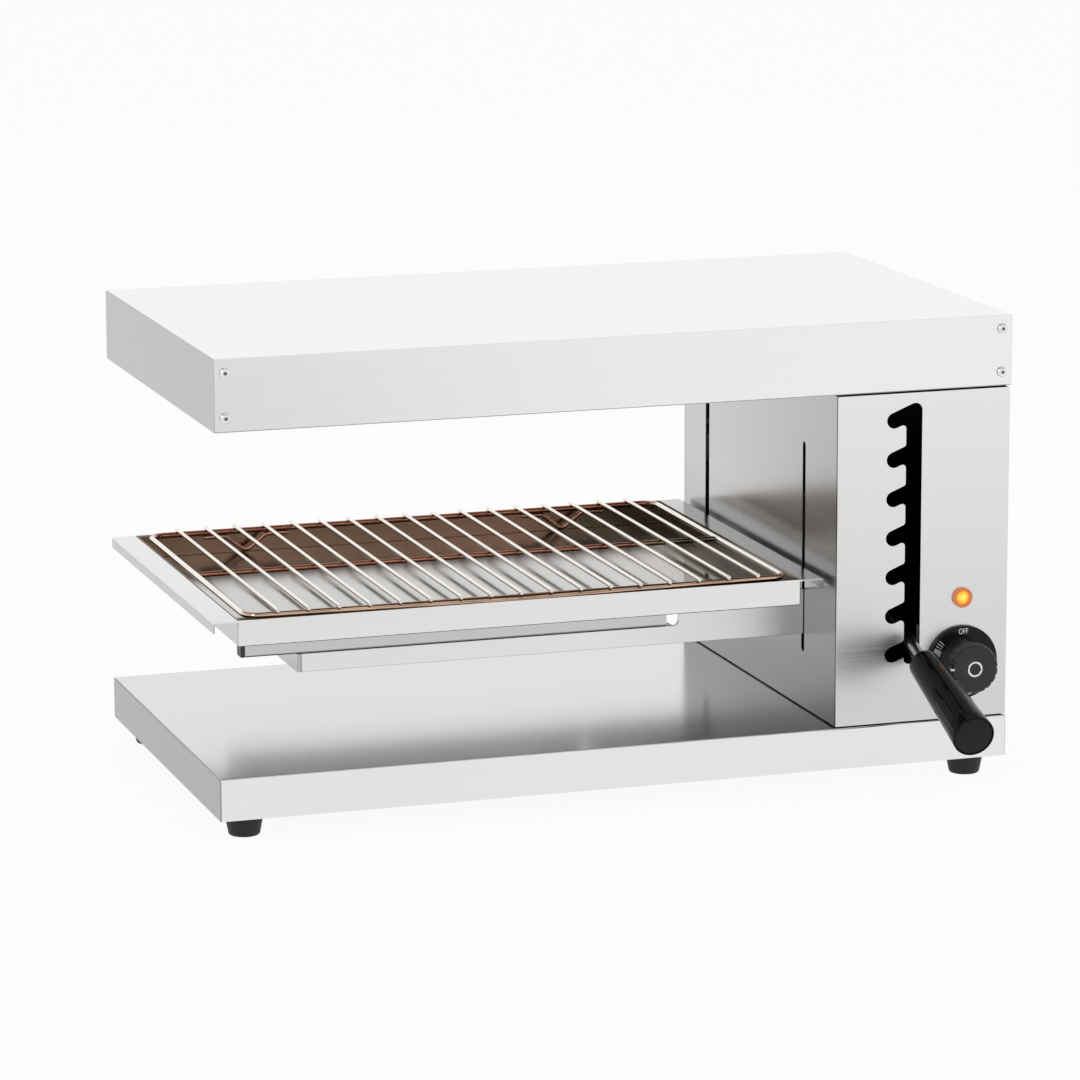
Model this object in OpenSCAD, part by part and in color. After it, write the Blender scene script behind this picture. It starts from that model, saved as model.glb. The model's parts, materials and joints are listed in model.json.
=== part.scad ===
// Cheese melter: an open-sided salamander grill. A drip pan with a wire rack hangs on a carriage,
// and a lever that locks in a comb slot lifts the carriage towards the heaters under the hood.
// X runs to the right, Y to the back, Z up. The origin is on the table, under the middle of the
// whole outline, handle included.

/* [Case] */
// Width of the base and of the hood
case_w = 600; // [560:1:660]
// Depth of the base and of the hood, without the handle
case_d = 330; // [320:1:380]
// Height of the base box
base_h = 31; // [26:0.5:40]
// Height of the hood box
hood_h = 52; // [46:0.5:70]
// Thickness of the stainless sheet
sheet_t = 1.2; // [0.8:0.1:1.5]
// Outer radius of the folded corners
fold_r = 2; // [1.8:0.1:4]

/* [Column] */
// Width of the column that holds the mechanism
column_w = 134.5; // [130:0.5:150]
// Height of the column between base and hood
column_h = 248; // [244:1:290]
// How far the column stands back from the right end of the case
column_inset = 1; // [0.5:0.1:3]
// Width of the folded flanges at the column's foot and head
flange_w = 12; // [8:0.5:16]
// Number of ventilation slots in the back panel
vent_count = 9; // [4:1:12]
// Width of a ventilation slot
vent_w = 4; // [3:0.5:5]
// Height of a ventilation slot
vent_h = 26; // [16:1:30]

/* [Feet] */
// Height of a rubber foot
foot_h = 16.5; // [10:0.5:24]
// Diameter of a foot where it meets the base
foot_d = 28; // [22:0.5:30]
// Diameter of a foot at the table
foot_tip_d = 23; // [16:0.5:21.9]
// Distance of a foot's centre from the side of the case
foot_inset_x = 23; // [16:0.5:40]
// Distance of a foot's centre from the front and the back
foot_inset_y = 24; // [15:0.5:40]

/* [Comb slot] */
// Number of notches, one for each height of the pan
notch_count = 7; // [4:1:7]
// Distance from notch to notch
notch_pitch = 29.1; // [27:0.1:30]
// Width of a notch
notch_w = 11.6; // [11.4:0.1:12]
// Sideways distance from the channel's middle to the end of a notch
notch_run = 15.5; // [14:0.1:17]
// How steeply a notch runs down to the left
notch_slope = 22; // [18:0.5:26]
// Width of the upright channel
channel_w = 12.5; // [12:0.1:14]
// Distance of the channel's middle from the column's left side
channel_x = 59.3; // [56:0.1:64]
// Height of the lowest notch's end above the base
notch_z = 52; // [48:0.5:58]

/* [Lever and handle] */
// Diameter of the lever's round rod
rod_d = 10; // [9:0.1:10.2]
// How steeply the lever leans down to the front in the lowest position
lever_slope = 16.4; // [15:0.1:18]
// How far the rod points to the left of straight ahead
lever_yaw = 1.95; // [1:0.05:2.5]
// Distance of the pivot in front of the back of the case
pivot_back = 15; // [14.5:0.5:20]
// Distance from the pivot to the pin that lifts the carriage
drive_r = 202; // [190:1:206]
// Diameter of the drive pin
drive_pin_d = 8; // [6:0.5:9]
// Distance from the pivot to the upright pin of the rod
king_r = 26; // [24:0.5:32]
// Length of bare rod between the front panel and the grip
rod_out = 26; // [22:1:40]
// Length of the grip
grip_len = 109; // [90:1:130]
// Diameter of the grip at its front end
grip_d = 31; // [28:0.5:34]
// Diameter of the grip at the rod
grip_neck_d = 23; // [20:0.5:26]

/* [Carriage] */
// Thickness of the carrier's arms
arm_t = 3; // [2:0.1:4]
// Height of an arm at the column
arm_h = 34; // [32:0.1:36]
// Height of an arm under the runner's notch
arm_low_h = 13.4; // [11:0.1:18]
// Height of the arms' lower edge above the base in the lowest position
arm_z = 57; // [54:0.1:60]
// Distance of the front arm's middle from the front of the case
arm_front_y = 68; // [62:0.5:72]
// Distance of the rear arm's middle from the front of the case
arm_rear_y = 277; // [270:0.5:282]
// How far the arms reach out from the column
arm_reach = 386.5; // [340:0.5:400]
// Where the runner's notch ends, measured from the column
arm_full = 98.5; // [80:0.5:120]
// Width of the front arm's slot in the column
slot_front_w = 6; // [5:0.1:8]
// Width of the rear arm's slot in the column
slot_rear_w = 8.5; // [6:0.1:10]
// Height of the carriage's bearings
bearing_h = 60; // [50:1:70]
// Diameter of the guide rods
guide_d = 10; // [8:0.5:12]

/* [Pan and rack] */
// Width of the pan between the outer sides of its walls
pan_w = 424; // [380:1:426]
// Depth of the pan from front wall to back wall
pan_d = 312; // [300:1:314]
// Height of the pan's walls
pan_h = 19; // [14:0.5:26]
// Gap from the pan's right flange to the column
pan_gap = 4; // [3:0.1:8]
// Distance of the pan's front wall from the front of the case
pan_front = 15; // [12:0.5:15.5]
// Width of the flanges at the pan's ends
pan_flange = 18; // [12:0.5:20]
// Height of the turned-down lip of a flange
pan_lip = 8; // [5:0.5:12]
// Width of a runner under the pan
runner_w = 12; // [9:0.5:14]
// Length of a runner without its end cap
runner_len = 320; // [280:1:330]
// Length of the black end cap of a runner
runner_cap = 3; // [2:0.5:9]
// Gap between the runner's right end and the end of the arm's notch
runner_gap = 9.5; // [3:0.5:14]
// Width of the wire rack
rack_w = 407; // [360:1:410]
// Depth of the wire rack
rack_d = 293; // [270:1:294]
// Diameter of the rack's frame wire
rack_frame_d = 4.5; // [3.5:0.1:6]
// Diameter of the rack's cross wires
rack_wire_d = 3; // [2:0.1:4]
// Number of cross wires
rack_wires = 17; // [11:2:21]
// Diameter of the wire feet under the rack
rack_foot_d = 3.5; // [3:0.1:4]

/* [Heaters] */
// Diameter of a heater tube
heater_d = 8; // [6:0.5:9]
// Distance between the two legs of a heater
heater_leg = 50; // [40:1:54]
// Distance from heater to heater
heater_pitch = 95; // [88:1:96]
// Length of a heater's straight legs under the reflector
heater_len = 380; // [300:1:400]
// Height of the reflector above the hood's floor
reflector_h = 34; // [28:0.5:40]

/* [Controls] */
// Distance of the knob and the lamp from the column's right side
control_x = 35.7; // [31:0.1:40]
// Height of the knob's centre above the base
knob_z = 43; // [40:0.5:60]
// Diameter of the knob's dial
dial_d = 55; // [48:0.5:58]
// Diameter of the knob's grip
knob_d = 38; // [34:0.5:44]
// How far the knob stands out of the front panel
knob_out = 27; // [22:0.5:34]
// Number of flutes around the knob
knob_flutes = 18; // [12:1:24]
// Height of the pilot lamp's centre above the base
lamp_z = 91.5; // [86:0.5:120]
// Diameter of the pilot lamp's ring
lamp_d = 15; // [10:0.5:18]

/* [Hidden] */
$fn = 64;

fit_gap = 0.2;       // sheet beside sheet
run_gap = 0.05;      // shaft in its bore, on the radius
rest_gap = 0.3;      // a moving piece over its stop
cut = 1;             // how far a cutter passes the face that it cuts
panel_t = 1.5;       // thickness of the panels that carry the mechanism
weld_sink = 0.3;     // how far welded rack wires sink into each other
nut_d = 8;           // a small hexagon nut, over its corners
nut_h = 3;           // and its height

// Outline of the case
gland_out = 10;
case_r = case_w / 2;
column_r = case_r - column_inset;
column_l = column_r - column_w;
base_z = foot_h;
deck_z = base_z + base_h;
hood_z = deck_z + column_h;
top_z = hood_z + hood_h;
handle_len = rod_out + grip_len;
handle_out = handle_len * cos(lever_slope) + grip_d / 2 * sin(lever_slope);
front_y = (handle_out - case_d - gland_out) / 2;
back_y = front_y + case_d;
mid_y = (front_y + back_y) / 2;

// Comb slot, in the front panel's plane
channel_cx = column_l + channel_x;
notch_rise = notch_run * tan(notch_slope);
channel_low_z = deck_z + notch_z + notch_rise;
lift_span = (notch_count - 1) * notch_pitch;

// Lever: pivot, slopes and the lift that they give
comb_y = front_y + panel_t / 2;
pivot_y = back_y - pivot_back;
pivot_run = pivot_y - comb_y;
pivot_z = channel_low_z + pivot_run * tan(lever_slope);
lever_top = atan((channel_low_z + lift_span - pivot_z) / pivot_run);
lift = drive_r * (sin(lever_slope) + sin(lever_top));
rod_run = pivot_run / cos(lever_slope) - king_r;
king_tilt = atan(tan(notch_slope) * (1 + cos(lever_slope)) / 2);
king_x = channel_cx + rod_run * tan(lever_yaw);
drive_y = pivot_y - drive_r * cos(lever_slope);
drive_y_far = pivot_y - drive_r;
drive_z = pivot_z - drive_r * sin(lever_slope);
lever_t = 5;
lever_w = 18;
pin_d = 8;
pin_head_d = pin_d + 5;
hub_d = 17;
king_d = 6;
eye_d = 15;
eye_h = 10;
fork_t = 4;

// Carriage
plate_x = column_l + 3.5;
guide_x = plate_x + arm_t + guide_d;
bearing_w = guide_d * 2;
guide_clear = 9;
guide_in = 22;
guide_ys = [drive_y_far - (drive_pin_d + bearing_w) / 2 - guide_clear, front_y + arm_rear_y - guide_in];
lever_x = guide_x + bearing_w / 2 + 1.5;
arm_z0 = deck_z + arm_z;
arm_top = arm_z0 + arm_h;
arm_low_top = arm_z0 + arm_low_h;
arm_tip = column_l - arm_reach;
arm_ys = [front_y + arm_front_y, front_y + arm_rear_y];
slot_ws = [slot_front_w, slot_rear_w];
slot_under = 13.8;
slot_low = arm_z0 - slot_under;
slot_high = arm_top + lift + 3;
block_h = 10;
ledge_t = 2;

// Pan and rack
pan_r = column_l - pan_gap - pan_flange;
pan_cx = pan_r - pan_w / 2;
pan_cy = front_y + pan_front + pan_d / 2;
rim_z = arm_top + pan_h;
runner_z = arm_low_top;
runner_h = arm_top - arm_low_top;
runner_end = column_l - arm_full - runner_gap;
floor_z = arm_top + sheet_t;
rack_z = rim_z + 0.5;
rack_r = 12;
rack_top_z = rack_z + rack_frame_d / 2 + rack_wire_d / 2 - weld_sink;
rack_step = rack_w / (rack_wires + 1);
rack_foot_len = 67;
rack_foot_in = 76;
rack_foot_z = rack_z - (rack_frame_d + rack_foot_d) / 2 + weld_sink;
rack_foot_low = floor_z + rest_gap + rack_foot_d / 2;

// Hood and heaters
heat_margin = 14;
heat_l = -case_r + heat_margin;
heat_r = column_l - heat_margin;
heat_front = front_y + heat_margin + 6;
heat_back = back_y - heat_margin - 6;
reflector_flange = 6;
reflector_z = hood_z + sheet_t;
heater_z = hood_z + 12;
heater_x = heat_r - heater_len;
support_t = 1.5;
support_in = [30, 40];
support_xs = [heater_x + support_in[0], heat_r - support_in[1]];
terminal_len = 24;

// Controls
control_cx = column_r - control_x;
knob_cz = deck_z + knob_z;
lamp_cz = deck_z + lamp_z;
shaft_d = 6;
shaft_len = 12;
knob_wall = 8;
dial_t = 3;
dial_gap = 0.5;
ring_d = 11.6;
ring_w = 1.4;
ring_t = 0.6;
lamp_hole_d = lamp_d - 4;
lens_d = lamp_d - 5;
lamp_rim = 2;

// Fasteners: head diameter, head height, shank diameter; how much of a foot a screw holds
foot_web = 6;
foot_screw = [8, 2.6, 4];
panel_screw = [7.5, 2.2, 4];
side_screw = [7, 1.6, 3.5];
fascia_in = [8, 10];
side_screw_low = deck_z + 31.5;
side_screw_high = hood_z - 7;
side_screw_zs = [side_screw_low, (side_screw_low + side_screw_high) / 2, side_screw_high];

// ---- helpers ----

// A cylinder along X, from x, through y and z
module along_x(x, y, z, len, d) {
    translate([x, y, z]) rotate([0, 90, 0]) cylinder(h = len, d = d);
}

// A cylinder along Y, from y to the back, through x and z
module along_y(x, y, z, len, d) {
    translate([x, y, z]) rotate([-90, 0, 0]) cylinder(h = len, d = d);
}

// A flat rectangle round its centre, with round corners
module round_rect(w, d, r) {
    square([w - 2 * r, d], center = true);
    square([w, d - 2 * r], center = true);
    for (sx = [-1, 1], sy = [-1, 1])
        translate([sx * (w / 2 - r), sy * (d / 2 - r)]) circle(r = r);
}

// A flat slot with round ends, from one point to another; its sides meet the ends just inside the
// tangent, so that a slanted slot keeps clean corners
module slot_2d(from, to, w) {
    run = to - from;
    side = w / 2 - 0.02;
    for (p = [from, to]) translate(p) circle(d = w);
    translate(from) rotate(atan2(run[1], run[0])) translate([0, -side]) square([norm(run), 2 * side]);
}

// Puts a drawing of the XZ plane upright: its thickness runs to the back from y
module upright(y, t) {
    translate([0, y + t, 0]) rotate([90, 0, 0]) linear_extrude(t) children();
}

// Puts a drawing of the YZ plane upright: its thickness runs to the right from x
module sideways(x, t) {
    translate([x, 0, 0]) rotate([90, 0, 90]) linear_extrude(t) children();
}

// A pan head screw: its head stands on z = 0 and its shank points down
module screw(size, len) {
    socket_d = size[0] * 0.45;
    difference() {
        union() {
            cylinder(h = size[1] * 0.4, d = size[0]);
            translate([0, 0, size[1] * 0.4]) cylinder(h = size[1] * 0.6, d1 = size[0], d2 = size[0] * 0.7);
            translate([0, 0, -len]) cylinder(h = len + 0.1, d = size[2]);
        }
        translate([0, 0, size[1] * 0.45]) cylinder(h = size[1], d = socket_d, $fn = 6);
    }
}

// A screw with a hexagon nut at the end of its shank
module screw_and_nut(size, len) {
    screw(size, len);
    translate([0, 0, -len]) cylinder(h = nut_h, d = nut_d, $fn = 6);
}

// The lever's own frame: origin at the pivot, the lever runs along -Y
module lever_frame() {
    translate([king_x, pivot_y, pivot_z]) rotate([lever_slope, 0, 0]) children();
}

// The rod's own frame: origin at the king pin, which is its Z axis at rest
module king_frame() {
    lever_frame() translate([0, -king_r, 0]) rotate([0, -king_tilt, 0]) children();
}

// The rod's line: origin at the king pin, the rod runs along -Y
module rod_frame() {
    lever_frame() translate([0, -king_r, 0]) rotate([0, 0, -lever_yaw]) children();
}

// ---- base ----

module base_cover() {
    color("lightgray")
    difference() {
        translate([0, mid_y, base_z]) linear_extrude(base_h) round_rect(case_w, case_d, fold_r);
        translate([0, mid_y, base_z - cut]) linear_extrude(base_h - sheet_t + cut)
            round_rect(case_w - 2 * sheet_t, case_d - 2 * sheet_t, fold_r - sheet_t);
        column_screw_holes();
    }
}

module at_feet() {
    for (sx = [-1, 1], y = [front_y + foot_inset_y, back_y - foot_inset_y])
        translate([sx * (case_r - foot_inset_x), y, 0]) children();
}

module base_plate() {
    inset = sheet_t + fit_gap;
    color("silver")
    difference() {
        translate([-case_r + inset, front_y + inset, base_z])
            cube([case_w - 2 * inset, case_d - 2 * inset, sheet_t]);
        at_feet() translate([0, 0, base_z - cut]) cylinder(h = sheet_t + 2 * cut, d = foot_screw[2]);
    }
}

// A round rubber foot with a soft lower edge and a recess for its screw
module foot(sx, y) {
    edge = 2;
    recess_d = foot_screw[0] + 2;
    recess_h = foot_h - foot_web;
    color("#222222")
    translate([sx * (case_r - foot_inset_x), y, 0])
    difference() {
        rotate_extrude() union() {
            polygon([[0, 0], [foot_tip_d / 2 - edge, 0], [foot_tip_d / 2, edge],
                [foot_d / 2, foot_h - edge], [foot_d / 2, foot_h], [0, foot_h]]);
            intersection() {
                translate([foot_tip_d / 2 - edge, edge]) circle(r = edge);
                square([foot_d, edge]);
            }
        }
        translate([0, 0, -cut]) cylinder(h = recess_h + cut, d = recess_d);
        cylinder(h = foot_h + cut, d = foot_screw[2]);
    }
}

// Screws come up through the feet and end in hexagon nuts on the base plate
module foot_screws() {
    held = foot_web + sheet_t;
    color("silver")
    at_feet() translate([0, 0, foot_h - foot_web]) {
        rotate([180, 0, 0]) screw(foot_screw, held + nut_h);
        translate([0, 0, held]) cylinder(h = nut_h, d = nut_d, $fn = 6);
    }
}

// ---- column ----

module comb_2d() {
    low = channel_low_z - channel_w / 2 - 2;
    high = channel_low_z + lift_span + 1;
    slot_2d([channel_cx, low], [channel_cx, high], channel_w);
    for (i = [0:notch_count - 1])
        slot_2d([channel_cx - notch_run, deck_z + notch_z + i * notch_pitch],
            [channel_cx, channel_low_z + i * notch_pitch], notch_w);
}

// Front panel with the comb slot; folded flanges at foot and head
module column_front() {
    inner_w = column_w - 2 * (panel_t + fit_gap);
    color("gainsboro") {
        upright(front_y, panel_t) difference() {
            translate([column_l, deck_z]) square([column_w, column_h]);
            comb_2d();
            translate([control_cx, knob_cz]) circle(d = shaft_d + 2);
            translate([control_cx, lamp_cz]) circle(d = lamp_hole_d);
        }
        difference() {
            for (z = [deck_z, hood_z - sheet_t])
                translate([column_l + panel_t + fit_gap, front_y + panel_t, z])
                    cube([inner_w, flange_w, sheet_t]);
            column_screw_holes();
        }
    }
}

// Inner side wall with the two slots that the arms come through
module column_left() {
    color("darkgray")
    sideways(column_l, panel_t) difference() {
        translate([front_y + panel_t, deck_z]) square([case_d - 2 * panel_t, column_h]);
        for (i = [0, 1])
            slot_2d([arm_ys[i], slot_low + slot_ws[i] / 2], [arm_ys[i], slot_high - slot_ws[i] / 2],
                slot_ws[i]);
    }
}

module column_right() {
    color("lightgray")
    sideways(column_r - panel_t, panel_t) difference() {
        translate([front_y + panel_t, deck_z]) square([case_d - 2 * panel_t, column_h]);
        for (y = side_screw_ys(), z = side_screw_zs) translate([y, z]) circle(d = side_screw[2]);
    }
}

column_screw_in = 30;

// Holes and screws that hold the column's flanges on the base and on the hood's floor
module at_column_screws() {
    for (x = [column_l + column_screw_in, column_r - column_screw_in])
        for (y = [front_y + panel_t + flange_w / 2, back_y - panel_t - flange_w / 2])
            translate([x, y, 0]) children();
}

module column_screw_holes() {
    at_column_screws() for (z = [deck_z - sheet_t - cut, hood_z - sheet_t - cut])
        translate([0, 0, z]) cylinder(h = 2 * sheet_t + 2 * cut, d = side_screw[2]);
}

module column_screws() {
    len = 2 * sheet_t + nut_h;
    color("silver")
    at_column_screws() {
        translate([0, 0, deck_z + sheet_t]) screw_and_nut(side_screw, len);
        translate([0, 0, hood_z - sheet_t]) rotate([180, 0, 0]) screw_and_nut(side_screw, len);
    }
}

function side_screw_ys() = [front_y + panel_t + 7, back_y - panel_t - 7];

// Back panel with ventilation slots; folded flanges at foot and head
module column_back() {
    vent_side = 20;
    vent_zs = [70, 50];
    vent_pitch = (column_w - 2 * vent_side) / (vent_count - 1);
    vent_x = column_l + vent_side;
    inner_w = column_w - 2 * (panel_t + fit_gap);
    color("lightgray") {
        upright(back_y - panel_t, panel_t) difference() {
            translate([column_l, deck_z]) square([column_w, column_h]);
            for (i = [0:vent_count - 1], z = [deck_z + vent_zs[0], hood_z - vent_zs[1]])
                slot_2d([vent_x + i * vent_pitch, z - vent_h / 2 + vent_w / 2],
                    [vent_x + i * vent_pitch, z + vent_h / 2 - vent_w / 2], vent_w);
            translate([gland_x, gland_z]) circle(d = gland_thread_d);
            for (p = bracket_holes) translate(p) circle(d = panel_screw[2]);
        }
        difference() {
            for (z = [deck_z, hood_z - sheet_t])
                translate([column_l + panel_t + fit_gap, back_y - panel_t - flange_w, z])
                    cube([inner_w, flange_w, sheet_t]);
            column_screw_holes();
        }
    }
}

// Screws of the side cover, with clip nuts inside
module side_screws() {
    color("silver")
    for (y = side_screw_ys(), z = side_screw_zs) translate([column_r, y, z]) rotate([0, 90, 0])
        screw_and_nut(side_screw, panel_t + nut_h);
}

// ---- hood ----

// Top, back and both ends of the hood, folded from one sheet
module hood_cover() {
    color("lightgray")
    difference() {
        translate([0, mid_y + panel_t / 2, hood_z]) linear_extrude(hood_h) union() {
            round_rect(case_w, case_d - panel_t, fold_r);
            translate([-case_r, -(case_d - panel_t) / 2]) square([case_w, fold_r * 2]);
        }
        translate([0, mid_y, hood_z - cut]) linear_extrude(hood_h - sheet_t + cut)
            round_rect(case_w - 2 * sheet_t, case_d - 2 * sheet_t, fold_r - sheet_t);
        translate([-case_r + sheet_t, front_y, hood_z - cut])
            cube([case_w - 2 * sheet_t, panel_t + 2 * fold_r, hood_h - sheet_t + cut]);
    }
}

// Front panel of the hood, held by a screw in each corner
module hood_front() {
    color("gainsboro")
    upright(front_y, panel_t) difference() {
        translate([-case_r, hood_z]) square([case_w, hood_h]);
        for (p = fascia_points()) translate(p) circle(d = panel_screw[2]);
    }
}

function fascia_points() = [for (sx = [-1, 1], z = [hood_z + fascia_in[1], top_z - fascia_in[1]])
    [sx * (case_r - fascia_in[0]), z]];

// Corner screws of the hood's front panel, with the nut blocks inside that they hold on
module fascia_screws() {
    nut = [11, 8, 10];
    color("silver")
    for (p = fascia_points()) {
        nut_x = sign(p[0]) * (case_r - sheet_t - nut[0] / 2) - nut[0] / 2;
        translate([p[0], front_y, p[1]]) rotate([90, 0, 0]) screw(panel_screw, panel_t + nut[1]);
        translate([nut_x, front_y + panel_t, p[1] - nut[2] / 2]) cube(nut);
    }
}

// Floor of the hood: closed over the column, open under the reflector
module hood_floor() {
    inset = sheet_t + fit_gap;
    y0 = front_y + panel_t;
    wire_hole_d = 22;
    wire_hole_in = 60;
    wire_hole_back = 20;
    color("silver")
    difference() {
        translate([-case_r + inset, y0, hood_z])
            cube([case_w - 2 * inset, case_d - panel_t - inset, sheet_t]);
        translate([heat_l, heat_front, hood_z - cut])
            cube([heat_r - heat_l, heat_back - heat_front, sheet_t + 2 * cut]);
        translate([column_r - wire_hole_in, mid_y + wire_hole_back, hood_z - cut])
            cylinder(h = sheet_t + 2 * cut, d = wire_hole_d);
        for (y = guide_ys) translate([guide_x, y, hood_z - cut]) cylinder(h = sheet_t + 2 * cut, d = guide_d);
        column_screw_holes();
    }
}

// Polished tray over the heaters, open below, with a flange all round
module reflector() {
    w = heat_r - heat_l;
    d = heat_back - heat_front;
    color("white")
    translate([heat_l, heat_front, reflector_z])
    difference() {
        union() {
            cube([w, d, reflector_h]);
            translate([-reflector_flange, -reflector_flange, 0])
                cube([w + 2 * reflector_flange, d + 2 * reflector_flange, sheet_t]);
        }
        translate([sheet_t, sheet_t, -cut])
            cube([w - 2 * sheet_t, d - 2 * sheet_t, reflector_h - sheet_t + cut]);
        for (y = heater_leg_ys())
            along_x(w - sheet_t - cut, y - heat_front, heater_z - reflector_z, sheet_t + 2 * cut, heater_d);
    }
}

function heater_leg_ys() = [for (i = [-1, 0, 1], s = [-1, 1]) mid_y + i * heater_pitch + s * heater_leg / 2];

// One hairpin tube: the bend is at the left, the cold ends pass the reflector's right wall
module heater(i) {
    color("orangered")
    translate([0, mid_y + i * heater_pitch, heater_z]) {
        for (s = [-1, 1])
            along_x(heater_x, s * heater_leg / 2, 0, heater_len, heater_d);
        translate([heater_x, 0, 0]) rotate([0, 0, 90]) rotate_extrude(angle = 180)
            translate([heater_leg / 2, 0]) circle(d = heater_d);
    }
}

// Upright strips that hang from the reflector and carry the tubes
module heater_supports() {
    y0 = heat_front + sheet_t;
    y1 = heat_back - sheet_t;
    low = heater_z - heater_d;
    color("silver")
    for (x = support_xs) sideways(x, support_t) difference() {
        translate([y0, low]) square([y1 - y0, reflector_z + reflector_h - sheet_t - low]);
        for (y = heater_leg_ys()) translate([y, heater_z]) circle(d = heater_d);
    }
}

// Ceramic sleeves and screw posts on the cold ends
module heater_terminals() {
    sleeve = 8;
    washer_t = 3;
    color("ivory")
    for (y = heater_leg_ys()) {
        along_x(heat_r, y, heater_z, sleeve, heater_d + 5);
        along_x(heat_r + sleeve, y, heater_z, terminal_len - sleeve, heater_d / 2);
        along_x(heat_r + terminal_len - 2 * washer_t, y, heater_z, washer_t, heater_d + 1);
    }
}

// ---- guides and pivot in the column ----

module guide_rods() {
    color("silver")
    for (y = guide_ys) translate([guide_x, y, deck_z]) cylinder(h = column_h + sheet_t, d = guide_d);
}

module guide_blocks() {
    color("gray")
    for (y = guide_ys, z = [deck_z, hood_z - block_h]) difference() {
        translate([guide_x - bearing_w / 2, y - bearing_w / 2, z]) cube([bearing_w, bearing_w, block_h]);
        translate([guide_x, y, z - cut]) cylinder(h = block_h + 2 * cut, d = guide_d);
    }
}

// Sleeves on the guide rods that the bearings come down to
module stop_sleeves() {
    color("#222222")
    for (y = guide_ys) translate([guide_x, y, deck_z + block_h]) difference() {
        cylinder(h = arm_z - block_h - rest_gap, d = guide_d + 6);
        translate([0, 0, -cut]) cylinder(h = arm_z + cut, d = guide_d);
    }
}

bracket_t = 4;
bracket_x0 = lever_x - fit_gap - bracket_t;
bracket_x1 = king_x + eye_d / 2 + 5;
bracket_h = 46;
bracket_wing = 12;
bracket_base_t = 3;
bracket_holes = [for (x = [bracket_x0 - bracket_wing / 2, bracket_x1 + bracket_t + bracket_wing / 2],
    sz = [-1, 1]) [x, pivot_z + sz * (bracket_h / 2 - 8)]];

// Bracket on the back panel with two ears for the pivot pin
module pivot_bracket() {
    y1 = back_y - panel_t;
    ear_r = min(10, y1 - pivot_y - 1);
    span = bracket_x1 - bracket_x0 + bracket_t;
    color("gray")
    difference() {
        union() {
            translate([bracket_x0 - bracket_wing, y1 - bracket_base_t, pivot_z - bracket_h / 2])
                cube([span + 2 * bracket_wing, bracket_base_t, bracket_h]);
            for (x = [bracket_x0, bracket_x1]) {
                along_x(x, pivot_y, pivot_z, bracket_t, 2 * ear_r);
                translate([x, pivot_y, pivot_z - ear_r]) cube([bracket_t, y1 - pivot_y - 1, 2 * ear_r]);
            }
        }
        along_x(bracket_x0 - cut, pivot_y, pivot_z, span + 2 * cut, pin_d);
        for (p = bracket_holes)
            along_y(p[0], y1 - bracket_base_t - cut, p[1], bracket_base_t + 2 * cut, panel_screw[2]);
    }
}

module bracket_screws() {
    color("silver")
    for (p = bracket_holes) translate([p[0], back_y, p[1]]) rotate([-90, 0, 0])
        screw_and_nut(panel_screw, panel_t + bracket_base_t + nut_h);
}

module pivot_pin() {
    head_t = 2.5;
    span = bracket_x1 - bracket_x0 + bracket_t;
    color("silver") {
        along_x(bracket_x0 - head_t, pivot_y, pivot_z, span + 2 * head_t, pin_d);
        along_x(bracket_x0 - head_t, pivot_y, pivot_z, head_t, pin_head_d);
        along_x(bracket_x1 + bracket_t, pivot_y, pivot_z, head_t, pin_head_d);
    }
}

// ---- electrical pieces ----

regulator_w = 44;
regulator_t = 30;
gland_thread_d = 12;
gland_bore_d = 8;
gland_x = column_r - 30;
gland_z = deck_z + 28;
gland_in = 8;

module regulator() {
    y0 = front_y + panel_t;
    tag = [6, 9, 0.8];
    tag_pitch = 12.5;
    color("ivory")
    difference() {
        union() {
            translate([control_cx - regulator_w / 2, y0 + 2, knob_cz - regulator_w / 2])
                cube([regulator_w, regulator_t, regulator_w]);
            along_y(control_cx, y0, knob_cz, 3, 3 * shaft_d);
            for (i = [-1, 0, 1], sz = [-1, 1])
                translate([control_cx + i * tag_pitch - tag[0] / 2, y0 + 2 + regulator_t,
                    knob_cz + sz * tag_pitch - tag[2] / 2]) cube(tag);
        }
        along_y(control_cx, y0 - cut, knob_cz, shaft_len + 2 + cut, shaft_d + 2 * run_gap);
    }
}

lamp_tube = 8;

// Ring in front of the panel and the tube behind it
module lamp_bezel() {
    color("darkorange")
    difference() {
        union() {
            along_y(control_cx, front_y - lamp_rim, lamp_cz, lamp_rim, lamp_d);
            along_y(control_cx, front_y - 1, lamp_cz, 1 + panel_t + lamp_tube, lamp_hole_d);
        }
        along_y(control_cx, front_y - lamp_rim - cut, lamp_cz, panel_t + lamp_tube + 4, lens_d - 2);
        along_y(control_cx, front_y - lamp_rim - cut, lamp_cz, lamp_rim / 2 + cut, lens_d);
    }
}

// Domed lens that lies in the ring
module lamp_lens() {
    sink = 6;
    lens_r = lens_d / 2;
    color("gold")
    translate([control_cx, front_y - lamp_rim / 2, lamp_cz]) rotate([90, 0, 0]) rotate_extrude()
        intersection() {
            translate([0, -sink]) circle(r = norm([sink, lens_r]));
            square([lens_r, lamp_d]);
        }
}

module lamp_body() {
    y0 = front_y + panel_t;
    flange = 3;
    body_len = 24;
    tag = [0.8, 7, 4];
    color("#222222") {
        difference() {
            union() {
                along_y(control_cx, y0, lamp_cz, flange, lamp_d + flange);
                along_y(control_cx, y0, lamp_cz, lamp_tube + 1, lamp_d);
            }
            along_y(control_cx, y0 - cut, lamp_cz, lamp_tube + cut, lamp_hole_d);
        }
        along_y(control_cx, y0 + lamp_tube, lamp_cz, body_len - lamp_tube, lamp_hole_d);
        for (s = [-1, 1])
            translate([control_cx + s * tag[2] / 2 - tag[0] / 2, y0 + body_len, lamp_cz - tag[2] / 2])
                cube(tag);
    }
}

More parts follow.
